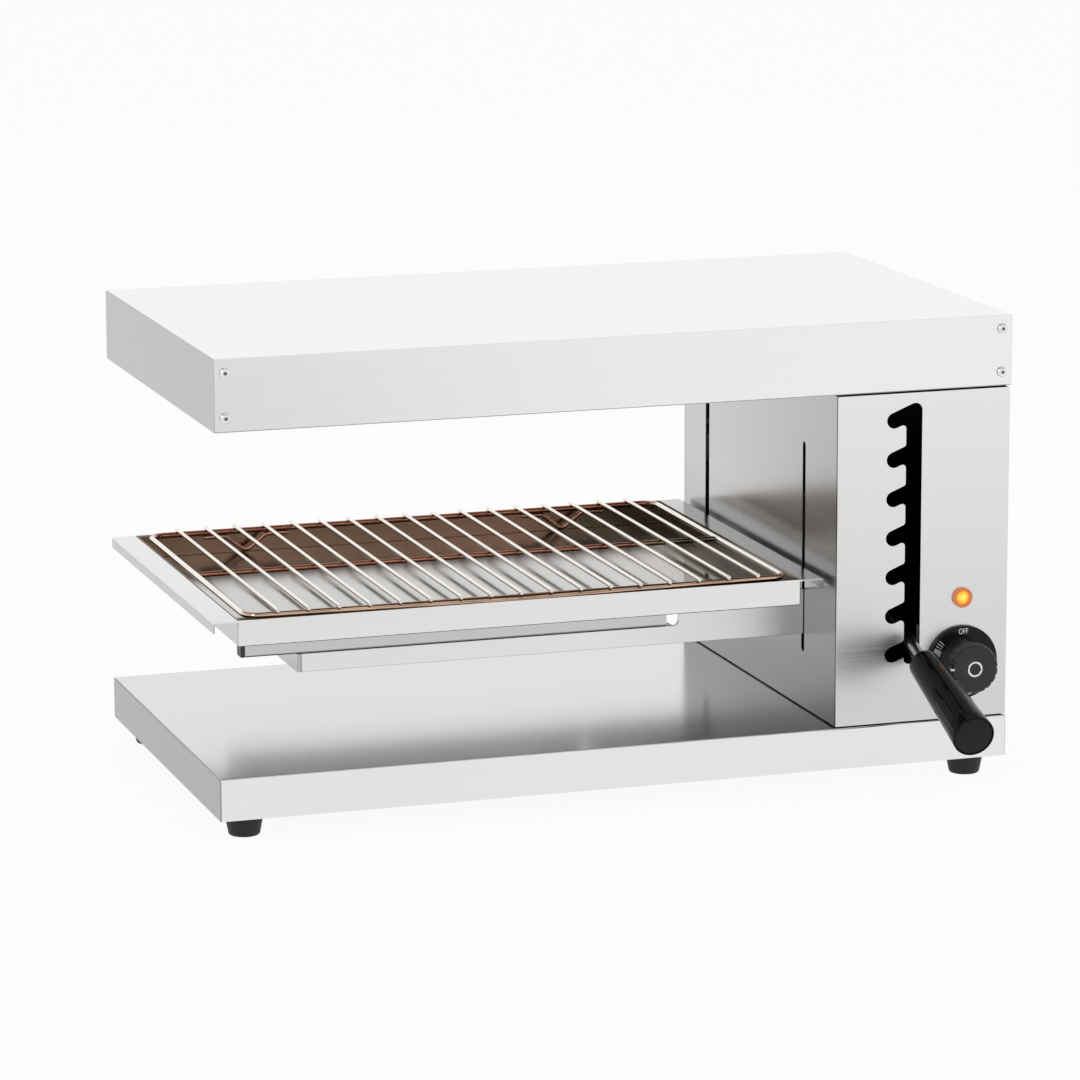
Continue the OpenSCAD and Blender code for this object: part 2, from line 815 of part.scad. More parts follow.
module terminal_block() {
    ways = 4;
    pitch = 12;
    w = 18;
    h = 14;
    wire_d = 4;
    wire_z = 6;
    block_in = 120;
    x0 = column_r - panel_t - pitch - w;
    y0 = back_y - block_in;
    color("ivory")
    difference() {
        translate([x0, y0, deck_z]) cube([w, ways * pitch, h]);
        for (i = [0:ways - 1]) {
            along_x(x0 - cut, y0 + (i + 0.5) * pitch, deck_z + wire_z, w + 2 * cut, wire_d);
            translate([x0 + w / 2, y0 + (i + 0.5) * pitch, deck_z + wire_z + wire_d / 2])
                cylinder(h = h, d = wire_d + 1);
        }
    }
}

// Gland for the mains lead, with its nut inside the back panel
module cable_gland() {
    hex_t = 4;
    hex_d = 18;
    color("#222222")
    difference() {
        union() {
            along_y(gland_x, back_y - panel_t - gland_in, gland_z, panel_t + gland_in + 1, gland_thread_d);
            for (y = [back_y + hex_t, back_y - panel_t])
                translate([gland_x, y, gland_z]) rotate([90, 0, 0]) cylinder(h = hex_t, d = hex_d, $fn = 6);
            along_y(gland_x, back_y + hex_t, gland_z, gland_out - hex_t, gland_thread_d + 2.5);
        }
        along_y(gland_x, back_y - panel_t - gland_in - cut, gland_z, panel_t + gland_in + gland_out + 2 * cut,
            gland_bore_d);
    }
}

// ---- carriage ----

// Upright plate inside the column: it joins the arms and has the slot for the drive pin
module carriage_plate() {
    slot_h = drive_pin_d + 0.8;
    window_w = 60;
    window_back = 4;
    rib = 12;
    reach = (drive_y - drive_y_far) / 2;
    cy = (drive_y + drive_y_far) / 2;
    over = reach + 1;
    color("silver")
    sideways(plate_x, arm_t) difference() {
        translate([arm_ys[0] - arm_t / 2, arm_z0])
            square([arm_ys[1] - arm_ys[0] + arm_t, bearing_h]);
        slot_2d([cy - over, drive_z], [cy + over, drive_z], slot_h);
        translate([mid_y + window_back, arm_z0 + rib]) square([window_w, bearing_h - 2 * rib]);
    }
}

module bearing(y) {
    color("darkkhaki")
    difference() {
        translate([guide_x - bearing_w / 2, y - bearing_w / 2, arm_z0])
            cube([bearing_w, bearing_w, bearing_h]);
        translate([guide_x, y, arm_z0 - cut])
            cylinder(h = bearing_h + 2 * cut, d = guide_d + 2 * run_gap);
    }
}

// A sheet arm: full height at the column, cut down further out, with a ledge for the runner
module arm(y, side) {
    notch_r = 4;
    x_full = column_l - arm_full;
    ledge_y = side > 0 ? y + arm_t / 2 : y - runner_w + arm_t / 2;
    color("gainsboro") {
        upright(y - arm_t / 2, arm_t) union() {
            translate([arm_tip, arm_z0]) square([plate_x - arm_tip, arm_low_h]);
            difference() {
                translate([x_full - notch_r, arm_z0]) square([plate_x - x_full + notch_r, arm_h]);
                translate([x_full - notch_r, arm_low_top + notch_r]) circle(r = notch_r);
                translate([x_full - 2 * notch_r, arm_low_top + notch_r]) square([2 * notch_r, arm_h]);
                translate([x_full - 2 * notch_r, arm_low_top]) square([notch_r, notch_r]);
            }
        }
        translate([arm_tip, ledge_y, arm_low_top - ledge_t])
            cube([x_full - notch_r - arm_tip, runner_w - arm_t, ledge_t]);
    }
}

// Cross piece that joins the arms at their left ends
module arm_end() {
    color("gainsboro")
    translate([arm_tip - arm_t, arm_ys[0] - arm_t / 2, arm_z0])
        cube([arm_t, arm_ys[1] - arm_ys[0] + arm_t, arm_low_h]);
}

// ---- pan and rack ----

module pan() {
    lip_t = sheet_t;
    color("lightgray") {
        difference() {
            translate([pan_cx, pan_cy, arm_top]) linear_extrude(pan_h) round_rect(pan_w, pan_d, fold_r);
            translate([pan_cx, pan_cy, floor_z]) linear_extrude(pan_h)
                round_rect(pan_w - 2 * sheet_t, pan_d - 2 * sheet_t, fold_r - sheet_t);
        }
        for (s = [-1, 1]) {
            x_wall = pan_cx + s * (pan_w / 2 - fold_r);
            x_out = pan_cx + s * (pan_w / 2 + pan_flange);
            difference() {
                translate([min(x_wall, x_out), pan_cy - pan_d / 2, rim_z - sheet_t])
                    cube([abs(x_out - x_wall), pan_d, sheet_t]);
                translate([pan_cx, pan_cy, rim_z - sheet_t - cut]) linear_extrude(sheet_t + 2 * cut)
                    round_rect(pan_w - 2 * sheet_t, pan_d - 2 * sheet_t, fold_r - sheet_t);
            }
            translate([min(x_out, x_out - s * lip_t), pan_cy - pan_d / 2, rim_z - pan_lip])
                cube([lip_t, pan_d, pan_lip]);
        }
    }
}

function runner_y(side) = side > 0 ? arm_ys[0] - arm_t / 2 : arm_ys[1] + arm_t / 2 - runner_w;

// A square tube under the pan that lies in the arm's notch
module runner(side) {
    wall = 1.5;
    color("silver")
    translate([runner_end - runner_len, runner_y(side), runner_z]) difference() {
        cube([runner_len, runner_w, runner_h]);
        translate([-cut, wall, wall]) cube([runner_len + 2 * cut, runner_w - 2 * wall, runner_h - 2 * wall]);
    }
}

module runner_caps() {
    cap_r = 2;
    x0 = runner_end - runner_len - runner_cap;
    color("#222222")
    for (side = [1, -1])
        translate([x0, runner_y(side) + runner_w / 2, runner_z + runner_h / 2]) rotate([90, 0, 90])
            linear_extrude(runner_cap) round_rect(runner_w, runner_h, cap_r);
}

// Closed loop of frame wire with round corners
module rack_frame() {
    w = rack_w / 2 - rack_r;
    d = rack_d / 2 - rack_r;
    color("whitesmoke")
    translate([pan_cx, pan_cy, rack_z]) {
        for (s = [-1, 1]) {
            along_x(-w, s * rack_d / 2, 0, 2 * w, rack_frame_d);
            along_y(s * rack_w / 2, -d, 0, 2 * d, rack_frame_d);
        }
        for (a = [0:3]) {
            sx = (a == 0 || a == 3) ? 1 : -1;
            sy = (a < 2) ? 1 : -1;
            translate([sx * w, sy * d, 0]) rotate([0, 0, a * 90]) rotate_extrude(angle = 90)
                translate([rack_r, 0]) circle(d = rack_frame_d);
        }
    }
}

// Bar under the middle of the cross wires
module rack_bar() {
    color("whitesmoke")
    along_x(pan_cx - rack_w / 2 + rack_frame_d / 2 - weld_sink, pan_cy, rack_z,
        rack_w - rack_frame_d + 2 * weld_sink, rack_frame_d - 0.5);
}

module rack_cross_wires() {
    over = 3;
    color("whitesmoke")
    for (i = [1:rack_wires])
        along_y(pan_cx - rack_w / 2 + i * rack_step, pan_cy - rack_d / 2 - over, rack_top_z,
            rack_d + 2 * over, rack_wire_d);
}

// Bent wires under the frame's front and rear wire: their bends stand on the pan's floor
module rack_feet() {
    color("whitesmoke")
    for (sx = [-1, 1], sy = [-1, 1])
        translate([pan_cx + sx * (rack_w / 2 - rack_foot_in), pan_cy + sy * rack_d / 2, 0])
            wire_foot();
}

// One wire foot: flat ends, two slopes and a short flat at the bottom, each mitred into the next
module wire_foot() {
    slope = 42;
    flat = 4;
    slope_d = rack_foot_d - 0.1;
    rise = rack_foot_z - rack_foot_low;
    mitre = slope_d / 2 * tan(slope / 2);
    over = mitre / 2;
    knee = flat / 2 + rise / tan(slope);
    along_x(-flat / 2 - over, 0, rack_foot_low, flat + 2 * over, rack_foot_d);
    for (s = [-1, 1]) {
        translate([s * flat / 2, 0, rack_foot_low]) rotate([0, s * (90 - slope), 0])
            translate([0, 0, -mitre]) cylinder(h = rise / sin(slope) + 2 * mitre, d = slope_d);
        along_x(s > 0 ? knee - over : -rack_foot_len / 2, 0, rack_foot_z,
            rack_foot_len / 2 - knee + over, rack_foot_d);
    }
}

// ---- lever ----

hub_x0 = bracket_x0 + bracket_t + fit_gap;
hub_x1 = bracket_x1 - fit_gap;

// Flat lever with its hub on the pivot pin and a fork for the rod
module lever_plate() {
    fork_w = 16;
    gap = eye_h + 2 * fit_gap;
    tilt_room = 3;
    drill_out = 20;
    drill = hub_x1 - hub_x0 + 2 * drill_out;
    color("gray")
    difference() {
        union() {
            lever_frame() {
                translate([lever_x - king_x, 0, 0]) rotate([90, 0, 90]) linear_extrude(lever_t)
                    slot_2d([0, 0], [-drive_r, 0], lever_w);
                translate([hub_x0 - king_x, 0, 0]) rotate([0, 90, 0])
                    cylinder(h = hub_x1 - hub_x0, d = hub_d);
            }
            king_frame() for (s = [-1, 1])
                translate([-fork_w / 2, 0, s > 0 ? gap / 2 : -gap / 2 - fork_t]) {
                    cube([fork_w, king_r - pin_d / 2 - 1, fork_t]);
                    translate([fork_w / 2, 0, 0]) cylinder(h = fork_t, d = fork_w);
                }
        }
        lever_frame() translate([hub_x0 - king_x - drill_out, 0, 0]) rotate([0, 90, 0])
            cylinder(h = drill, d = pin_d + 2 * run_gap);
        lever_frame() translate([lever_x - king_x - cut, -drive_r, 0]) rotate([0, 90, 0])
            cylinder(h = lever_t + 2 * cut, d = drive_pin_d);
        king_frame() translate([0, 0, -drill / 2]) cylinder(h = drill, d = king_d);
        king_frame() translate([0, 0, -gap / 2]) cylinder(h = gap, d = eye_d + 2 * tilt_room);
    }
}

module drive_pin() {
    reach = lever_x + lever_t - plate_x;
    head_t = 3;
    color("silver")
    lever_frame() translate([plate_x - king_x, -drive_r, 0]) rotate([0, 90, 0]) {
        cylinder(h = reach + head_t, d = drive_pin_d);
        translate([0, 0, reach]) cylinder(h = head_t, d = drive_pin_d + 4);
    }
}

module king_pin() {
    half = eye_h / 2 + fit_gap + fork_t;
    head_t = 2;
    color("silver")
    king_frame() {
        translate([0, 0, -half]) cylinder(h = 2 * half, d = king_d);
        for (z = [-half - head_t, half]) translate([0, 0, z]) cylinder(h = head_t, d = king_d + 4);
    }
}

cap_t = 3;

// Rod with the eye that turns on the king pin
module lever_rod() {
    start = 6;
    out = rod_run + panel_t / 2 / cos(lever_slope) + handle_len - cap_t - 1;
    color("silver")
    difference() {
        union() {
            king_frame() translate([0, 0, -eye_h / 2]) cylinder(h = eye_h, d = eye_d);
            rod_frame() translate([0, -start, 0]) rotate([90, 0, 0]) cylinder(h = out - start, d = rod_d);
        }
        king_frame() translate([0, 0, -eye_h]) cylinder(h = 2 * eye_h, d = king_d + 2 * run_gap);
    }
}

// Tapered grip on the rod's end
module grip() {
    start = rod_run + panel_t / 2 / cos(lever_slope) + rod_out;
    body = grip_len - cap_t;
    edge = 1.5;
    color("#1a1a1a")
    rod_frame() translate([0, -start, 0]) rotate([90, 0, 0]) rotate_extrude()
        polygon([[rod_d / 2, 0], [grip_neck_d / 2 - edge, 0], [grip_neck_d / 2, edge], [grip_d / 2, body],
            [rod_d / 2, body]]);
}

// Flat end cap of the grip
module grip_cap() {
    start = rod_run + panel_t / 2 / cos(lever_slope) + handle_len;
    edge = 1;
    color("#2a2a2a")
    rod_frame() translate([0, -start + cap_t, 0]) rotate([90, 0, 0]) rotate_extrude()
        polygon([[0, 0], [grip_d / 2, 0], [grip_d / 2, cap_t - edge], [grip_d / 2 - edge, cap_t],
            [0, cap_t]]);
}

// ---- knob ----

module knob_shaft() {
    color("silver")
    along_y(control_cx, front_y - knob_out + knob_wall, knob_cz, knob_out - knob_wall + panel_t + shaft_len,
        shaft_d);
}

module knob_dial() {
    edge = 1;
    color("#1a1a1a")
    difference() {
        union() {
            along_y(control_cx, front_y - dial_gap - dial_t + edge, knob_cz, dial_t - edge, dial_d);
            translate([control_cx, front_y - dial_gap - dial_t + edge, knob_cz]) rotate([90, 0, 0])
                cylinder(h = edge, d1 = dial_d, d2 = dial_d - 2 * edge);
        }
        along_y(control_cx, front_y - dial_gap - dial_t - cut, knob_cz, dial_t + 2 * cut, shaft_d);
    }
}

module knob_grip() {
    h = knob_out - dial_gap - dial_t;
    flute_d = 3;
    flute_out = 0.6;
    edge = 2;
    color("#1a1a1a")
    translate([control_cx, front_y - dial_gap - dial_t, knob_cz]) rotate([90, 0, 0]) difference() {
        union() {
            cylinder(h = h - edge, d1 = knob_d, d2 = knob_d - 1);
            translate([0, 0, h - edge]) cylinder(h = edge, d1 = knob_d - 1, d2 = knob_d - 1 - edge);
        }
        for (i = [0:knob_flutes - 1]) rotate([0, 0, i * 360 / knob_flutes])
            translate([knob_d / 2 + flute_out, 0, edge]) cylinder(h = h, d = flute_d);
        translate([0, 0, h - ring_t]) ring(ring_t + cut);
        translate([0, 0, -cut]) cylinder(h = h - knob_wall + cut, d = shaft_d);
    }
}

module ring(h) {
    difference() {
        cylinder(h = h, d = ring_d);
        translate([0, 0, -cut]) cylinder(h = h + 2 * cut, d = ring_d - 2 * ring_w);
    }
}

// Thin bright ring set in the knob's face
module knob_ring() {
    color("silver")
    translate([control_cx, front_y - knob_out + ring_t, knob_cz]) rotate([90, 0, 0]) ring(ring_t);
}

// ---- nodes ----

base_cover();
base_plate();
foot(-1, front_y + foot_inset_y);  // foot_front_left
foot(1, front_y + foot_inset_y);  // foot_front_right
foot(-1, back_y - foot_inset_y);  // foot_rear_left
foot(1, back_y - foot_inset_y);  // foot_rear_right
foot_screws();
column_front();
column_left();
column_right();
column_back();
column_screws();
side_screws();
hood_cover();
hood_front();
hood_floor();
fascia_screws();
reflector();
heater(-1);  // heater_front
heater(0);  // heater_middle
heater(1);  // heater_rear
heater_supports();
heater_terminals();
guide_rods();
guide_blocks();
stop_sleeves();
pivot_bracket();
bracket_screws();
pivot_pin();
regulator();
lamp_bezel();
lamp_lens();
lamp_body();
terminal_block();
cable_gland();
carriage_plate();
bearing(guide_ys[0]);  // bearing_front
bearing(guide_ys[1]);  // bearing_rear
arm(arm_ys[0], 1);  // arm_front
arm(arm_ys[1], -1);  // arm_rear
arm_end();
pan();
runner(1);  // runner_front
runner(-1);  // runner_rear
runner_caps();
rack_frame();
rack_bar();
rack_cross_wires();
rack_feet();
lever_plate();
drive_pin();
king_pin();
lever_rod();
grip();
grip_cap();
knob_shaft();
knob_dial();
knob_grip();
knob_ring();
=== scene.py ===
# %% [markdown]
# # A cheese melter in brushed stainless steel
# The machine is folded sheet metal: a base box, a column, a hood, and between them a drip pan with a
# wire rack that a lever lifts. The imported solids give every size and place. This lesson dresses them:
# folded edges get their small radii, wires get real bends, and each metal gets its own grain.

# %% Load the solids
import json
import math
import bmesh
import bpy
from mathutils import Matrix, Vector
from mathutils.geometry import delaunay_2d_cdt


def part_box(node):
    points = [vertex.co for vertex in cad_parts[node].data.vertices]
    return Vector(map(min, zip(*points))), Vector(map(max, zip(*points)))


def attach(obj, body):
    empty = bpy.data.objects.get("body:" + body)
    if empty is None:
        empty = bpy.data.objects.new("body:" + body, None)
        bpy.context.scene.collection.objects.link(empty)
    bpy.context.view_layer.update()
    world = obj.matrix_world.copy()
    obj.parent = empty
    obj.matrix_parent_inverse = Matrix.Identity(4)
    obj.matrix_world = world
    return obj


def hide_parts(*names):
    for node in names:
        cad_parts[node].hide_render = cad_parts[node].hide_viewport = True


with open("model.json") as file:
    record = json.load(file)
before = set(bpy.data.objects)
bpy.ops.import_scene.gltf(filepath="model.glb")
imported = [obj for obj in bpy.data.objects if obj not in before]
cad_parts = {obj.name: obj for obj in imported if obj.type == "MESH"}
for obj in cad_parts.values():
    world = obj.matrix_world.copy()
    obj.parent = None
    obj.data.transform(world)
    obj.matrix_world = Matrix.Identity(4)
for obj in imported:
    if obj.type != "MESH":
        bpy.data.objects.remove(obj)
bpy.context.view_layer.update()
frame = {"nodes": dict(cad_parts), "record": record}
nodes = frame["nodes"]

# %% [markdown]
# ## Sizes
# Everything below is in metres, as Blender is. A workshop drawing is in millimetres, so one short
# name turns one into the other. Places are read from the solids, so that nothing is fitted by eye.

# %% Sizes and places
MM = 0.001
SHEET, PANEL = 1.2 * MM, 1.5 * MM


def middle(node):
    return sum(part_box(node), Vector()) / 2


low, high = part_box("base_cover")
LEFT, RIGHT, FRONT, BACK = low.x, high.x, low.y, high.y
FOOT, DECK = low.z, high.z
HOOD_LOW, HOOD_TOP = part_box("hood_front")[0].z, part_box("hood_cover")[1].z
COLUMN_L, COLUMN_R = (corner.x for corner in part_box("column_front"))
print("case", round((RIGHT - LEFT) / MM), "x", round((BACK - FRONT) / MM), "mm, top at", round(HOOD_TOP / MM))

# %% [markdown]
# ## The camera
# A long lens stands far away, a little to the left and above, so that upright lines stay almost
# parallel although it looks down. Its matrix is built from three angles: turn, tilt and a trace of roll.

# %% Camera
TURN, TILT, ROLL = (math.radians(a) for a in (17.97, 11.81, -0.18))
EYE = Vector((-1.1133, -3.3422, 0.916))
forward = Vector((math.sin(TURN) * math.cos(TILT), math.cos(TURN) * math.cos(TILT), -math.sin(TILT)))
level = Vector((math.cos(TURN), -math.sin(TURN), 0))
upward = level.cross(forward)
right = level * math.cos(ROLL) + upward * math.sin(ROLL)
upward = upward * math.cos(ROLL) - level * math.sin(ROLL)
camera = bpy.data.objects.new("camera", bpy.data.cameras.new("camera"))
camera.data.lens = 162.8
camera.data.sensor_width = 36
camera.data.clip_end = 100
camera.matrix_world = Matrix.Translation(EYE) @ Matrix((right, upward, -forward)).transposed().to_4x4()
bpy.context.scene.collection.objects.link(camera)
bpy.context.scene.camera = camera
print("camera at", [round(v, 3) for v in EYE])

# %% [markdown]
# ## Shader sums as Python
# A node tree for a brushed metal is mostly sums. A small class wraps a socket, so that
# `0.3 + streak * 0.1` adds its Math nodes by itself. Every other node comes from one function, which
# takes the node's type, its settings and what its sockets get, by number or by name.

# %% Sockets in sums, and a finish to hold them
def feed(socket, value):
    """Links an output, plain or in a Wire, to a socket, or sets the socket's value."""
    value = getattr(value, "socket", value)
    if isinstance(value, bpy.types.NodeSocket):
        socket.id_data.links.new(value, socket)
    elif value is not None:
        socket.default_value = value


def new_node(tree, kind, settings, *values, **named):
    node = tree.nodes.new(kind)
    for key, value in settings.items():
        setattr(node, key, value)
    for key, value in enumerate(values):
        feed(node.inputs[key], value)
    for key, value in named.items():
        feed(node.inputs[key.replace("_", " ")], value)
    return node


class Wire:
    """An output socket that can stand in a sum."""

    def __init__(self, finish, socket):
        self.finish, self.socket = finish, socket

    def calc(self, operation, *others):
        return self.finish.add("Math", {"operation": operation}, self, *others)

    def __add__(self, other):
        return self.calc("ADD", other)

    def __sub__(self, other):
        return self.calc("SUBTRACT", other)

    def __mul__(self, other):
        return self.calc("MULTIPLY", other)

    def __pow__(self, other):
        return self.calc("POWER", other)

    def __rsub__(self, other):
        return self.finish.add("Math", {"operation": "SUBTRACT"}, other, self)

    __radd__ = __add__

    def above(self, other):
        return self.calc("GREATER_THAN", other)

    def below(self, other):
        return self.calc("LESS_THAN", other)

    def clip(self):
        return self.finish.add("Clamp", {}, self)


class Finish:
    """A material: one Principled shader and the nodes that feed it."""

    def __init__(self, name, **plain):
        self.material = bpy.data.materials.new(name)
        self.material.use_nodes = True
        self.tree = self.material.node_tree
        self.shader = self.tree.nodes["Principled BSDF"]
        for socket, value in plain.items():
            self.set(socket.replace("_", " "), value)

    def add(self, kind, settings, *values, out=0, **named):
        node = new_node(self.tree, "ShaderNode" + kind, settings, *values, **named)
        return Wire(self, node.outputs[out])

    def set(self, socket, value):
        feed(self.shader.inputs[socket], value)

    def surface(self, shader):
        """Puts another shader in the place of the Principled one."""
        self.tree.nodes.remove(self.shader)
        feed(self.tree.nodes["Material Output"].inputs[0], shader)

    def blend(self, factor, first, second):
        """A mix of two colours; the Mix node keeps its colours in sockets 6 and 7."""
        skipped = [None] * 5
        return self.add("Mix", {"data_type": "RGBA"}, factor, *skipped, first, second, out=2)

    def place(self, scale=(1, 1, 1)):
        return self.add("Mapping", {}, Vector=self.add("TexCoord", {}, out=3), Scale=scale)

    def noise(self, scale, detail=2, stretch=(1, 1, 1)):
        return self.add("TexNoise", {}, Vector=self.place(stretch), Scale=scale, Detail=detail)

    def spots(self):
        """The point's x, y and z in the object's own frame, which is the machine's."""
        split = self.add("SeparateXYZ", {}, self.add("TexCoord", {}, out=3))
        return [Wire(self, socket) for socket in split.socket.node.outputs]

    def around(self, centre):
        """Offsets across and up from an axis that runs along the depth, and the distance from it."""
        x, _, z = self.spots()
        across, up = x - centre.x, z - centre.z
        return across, up, (across * across + up * up) ** 0.5

    def spread(self, value, low, high):
        return self.add("MapRange", {}, value, low, high, 0.0, 1.0)

    def dim(self, colour, gain):
        return self.add("VectorMath", {"operation": "SCALE"}, colour, Scale=gain)

    def bump(self, height, strength, distance):
        self.set("Normal", self.add("Bump", {}, Strength=strength, Distance=distance, Height=height))


def tone(*shade, gain=1.0):
    """A colour from one grey value or from red, green and blue, all times a gain."""
    return (*(value * gain for value in (shade * 3)[:3]), 1.0)


print("shader helpers ready")

# %% [markdown]
# ## Brushed steel
# Brushing leaves thousands of hair-fine scratches that all run one way. A noise that is stretched a
# hundredfold along the grain gives them; it changes the roughness and the colour by a few per cent
# and tips the normal a trace. A second, broad noise adds the cloudy patches of handled sheet. Zones
# darken the colour as painted shade: on folded ends, inside the column, near its foot and along edges.

# %% Brushed steel
GRAINS = {"X": (0.3, 60, 60), "Y": (60, 0.3, 60), "Z": (60, 60, 0.3)}


def past(axis, limit, side, factor):
    """A zone that begins at once beyond a limit along one axis, on its lower (-1) or upper (1) side."""
    return axis, limit, limit + side * 0.01 * MM, factor


def both_ends(factor):
    return [past(0, LEFT + EDGE, -1, factor), past(0, RIGHT - EDGE, 1, factor)]


def brushed(name, shade, rough, grain="X", depth=0.02, streaks=0.02, zones=()):
    """zones: (axis, start, end, factor) paints shade, darkening the metal by a factor that grows from start
    to end.
    """
    steel = Finish(name, Metallic=1.0)
    fine = steel.noise(26.0, 3, GRAINS[grain])
    hair = steel.noise(95.0, 1, GRAINS[grain])
    cloud = steel.noise(5.0, 2)
    mask = steel.spread(fine * 0.6 + hair * 0.4, 0.3, 0.7)
    dark = tone(*shade, gain=1 - streaks)
    light = tone(*(min(c * (1 + streaks * 0.6), 1) for c in shade))
    colour = steel.blend(mask, dark, light)
    for axis, start, end, factor in zones:
        colour = steel.dim(colour, 1 - steel.spread(steel.spots()[axis], start, end) * (1 - factor))
    steel.set("Base Color", colour)
    steel.set("Roughness", (rough + (mask - 0.5) * 0.05 + (cloud - 0.5) * 0.05).clip())
    steel.bump(hair * 0.5 + fine * 0.5, depth, 0.02 * MM)
    return steel.material


# INSIDE_SHADE is painted shade: the column's panels are darkened to it on their inner side.
EDGE, INSIDE_SHADE = 0.8 * MM, 0.07
ARM_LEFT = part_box("arm_front")[0].x
# HEAD_RIM and SIDE_HEAD_RIM bound the screw heads' rims, which are darkened as painted shade where they meet
# the sheet.
HEAD_RIM, SIDE_HEAD_RIM = FRONT - 0.78 * MM, COLUMN_R + 0.6 * MM
finishes = {
    # Painted shade: the base's folded ends are darkened, and its deck top a little.
    "sheet": brushed("brushed_sheet", (0.80, 0.80, 0.795), 0.17,
                     zones=both_ends(0.37) + [past(2, DECK - EDGE, 1, 0.85)]),
    # Painted shade: the hood's folded ends are darkened.
    "hood": brushed("brushed_hood", (0.89, 0.89, 0.885), 0.24, zones=both_ends(0.51)),
    # Painted shade: dark lines along the fascia's lower and left edges.
    "fascia": brushed("brushed_fascia", (0.87, 0.87, 0.87), 0.26,
                      zones=[past(2, HOOD_LOW + 0.6 * MM, -1, 0.45), past(0, LEFT + 0.5 * MM, -1, 0.6)]),
    # Painted shade: the front panel is dark on its inner side and darkens towards its foot.
    "panel": brushed("brushed_panel", (0.81, 0.81, 0.81), 0.26, depth=0.01,
                     zones=[past(1, FRONT + EDGE, 1, INSIDE_SHADE), (2, HOOD_LOW, DECK, 0.80)]),
    # Painted shade: the back panel is dark on its inner side.
    "back": brushed("brushed_back", (0.74, 0.74, 0.74), 0.3, zones=[past(1, BACK - EDGE, -1, INSIDE_SHADE)]),
    # Painted shade: this wall's tone is darker than the front panel's, it is dark on its inner side, and it
    # darkens towards its foot and towards its front.
    "column_left": brushed("bright_sheet", (0.57, 0.57, 0.565), 0.22, "Y", 0.006,
                           zones=[past(0, COLUMN_L + EDGE, 1, INSIDE_SHADE), (2, DECK + 0.15, DECK + 0.02, 0.62),
                                  (1, BACK - 0.06, FRONT, 0.78)]),
    # Painted shade: the right wall is dark on its inner side.
    "column_side": brushed("cover_sheet", (0.62, 0.62, 0.615), 0.22, "Y", 0.012,
                           zones=[past(0, COLUMN_R - EDGE, -1, INSIDE_SHADE)]),
    # Painted shade: the inner sheets get a dark tone.
    "inner_sheet": brushed("shaded_inner_sheet", (0.14, 0.14, 0.138), 0.4, "X", 0.04),
    # Painted shade at the arm's left end, and a painted reflection of the column that darkens it towards the
    # column.
    "arm": brushed("brushed_arm", (0.76, 0.76, 0.755), 0.25,
                   zones=[past(0, ARM_LEFT + EDGE, -1, 0.62), (0, COLUMN_L - 0.16, COLUMN_L, 0.84)]),
    "runner": brushed("tube_steel", (0.57, 0.57, 0.56), 0.25),
    "block": brushed("machined_steel", (0.5, 0.5, 0.51), 0.4, "Z"),
    # Painted shade: the front screws' heads are darkened at their rims.
    "fastener": brushed("screw_steel", (0.82, 0.82, 0.82), 0.22, "Y", 0.03,
                        zones=[past(1, HEAD_RIM, 1, 0.22)]),
    # Painted shade: the side screws' heads are darkened at their rims.
    "side_fastener": brushed("side_screw_steel", (0.7, 0.7, 0.7), 0.25, "Y", 0.03,
                             zones=[past(0, SIDE_HEAD_RIM, -1, 0.25)]),
}
print("brushed finishes:", len(finishes))

# %% [markdown]
# ## The other finishes
# Chromed wire that has been hot goes straw and brown in streaks, and its underside is darkened as
# painted shade. Rubber and moulded plastic are dark, but never black and never even: a fine noise
# in the roughness is what tells them apart.

# %% Plated, hot and cast finishes
def tinted_wire(name, clean, tints=()):
    """Chromed wire with (axis, low, high, colour) bands and painted shade underneath; its attribute facing is
    1 on top, -1 below.
    """
    wire = Finish(name, Metallic=1.0)
    patch = wire.noise(30.0, 3, (1, 2.5, 2.5))
    colour = wire.blend(patch, tone(*clean, gain=0.9), tone(*clean))
    place = wire.spots()
    for axis, low, high, tint in tints:
        shade = wire.blend(wire.spread(patch, 0.4, 0.6), tone(*tint, gain=0.7), tone(*tint))
        colour = wire.blend(wire.spread(place[axis], low, high), colour, shade)
    facing = wire.add("Attribute", {"attribute_name": "facing"}, out=2)
    # Painted shade: the colour darkens on the wire's underside.
    wire.set("Base Color", wire.dim(colour, 1 - wire.spread(facing, 0.1, -0.2) * 0.62))
    wire.set("Roughness", 0.07 + patch * 0.08)
    wire.bump(wire.noise(900.0, 1), 0.03, 0.02 * MM)
    return wire.material


def plain_metal(name, colour, rough, speck=500.0):
    metal = Finish(name, Metallic=1.0)
    grainy = metal.noise(speck, 2)
    metal.set("Base Color", metal.blend(grainy, tone(*colour, gain=0.92), tone(*colour)))
    metal.set("Roughness", rough + (grainy - 0.5) * 0.08)
    metal.bump(grainy, 0.05, 0.02 * MM)
    return metal.material


CREAM, TAN = (0.92, 0.88, 0.81), (0.74, 0.50, 0.36)
COPPER, OLIVE = (0.60, 0.26, 0.16), (0.36, 0.29, 0.17)
RACK_LOW, RACK_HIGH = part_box("rack_frame")
REAR_TINT = (1, RACK_HIGH.y - 16 * MM, RACK_HIGH.y - 5 * MM, COPPER)
FRONT_TINT = (1, RACK_LOW.y + 12 * MM, RACK_LOW.y + 5 * MM, TAN)
BAR_TINT = (0, RACK_HIGH.x - 0.09, RACK_HIGH.x - 0.05, OLIVE)
finishes["wire"] = tinted_wire("cross_wire", CREAM)
finishes["frame_wire"] = tinted_wire("frame_wire", CREAM, [REAR_TINT, FRONT_TINT])
finishes["bar_wire"] = tinted_wire("bar_wire", COPPER, [BAR_TINT])
finishes["foot_wire"] = tinted_wire("foot_wire", (0.72, 0.40, 0.27))
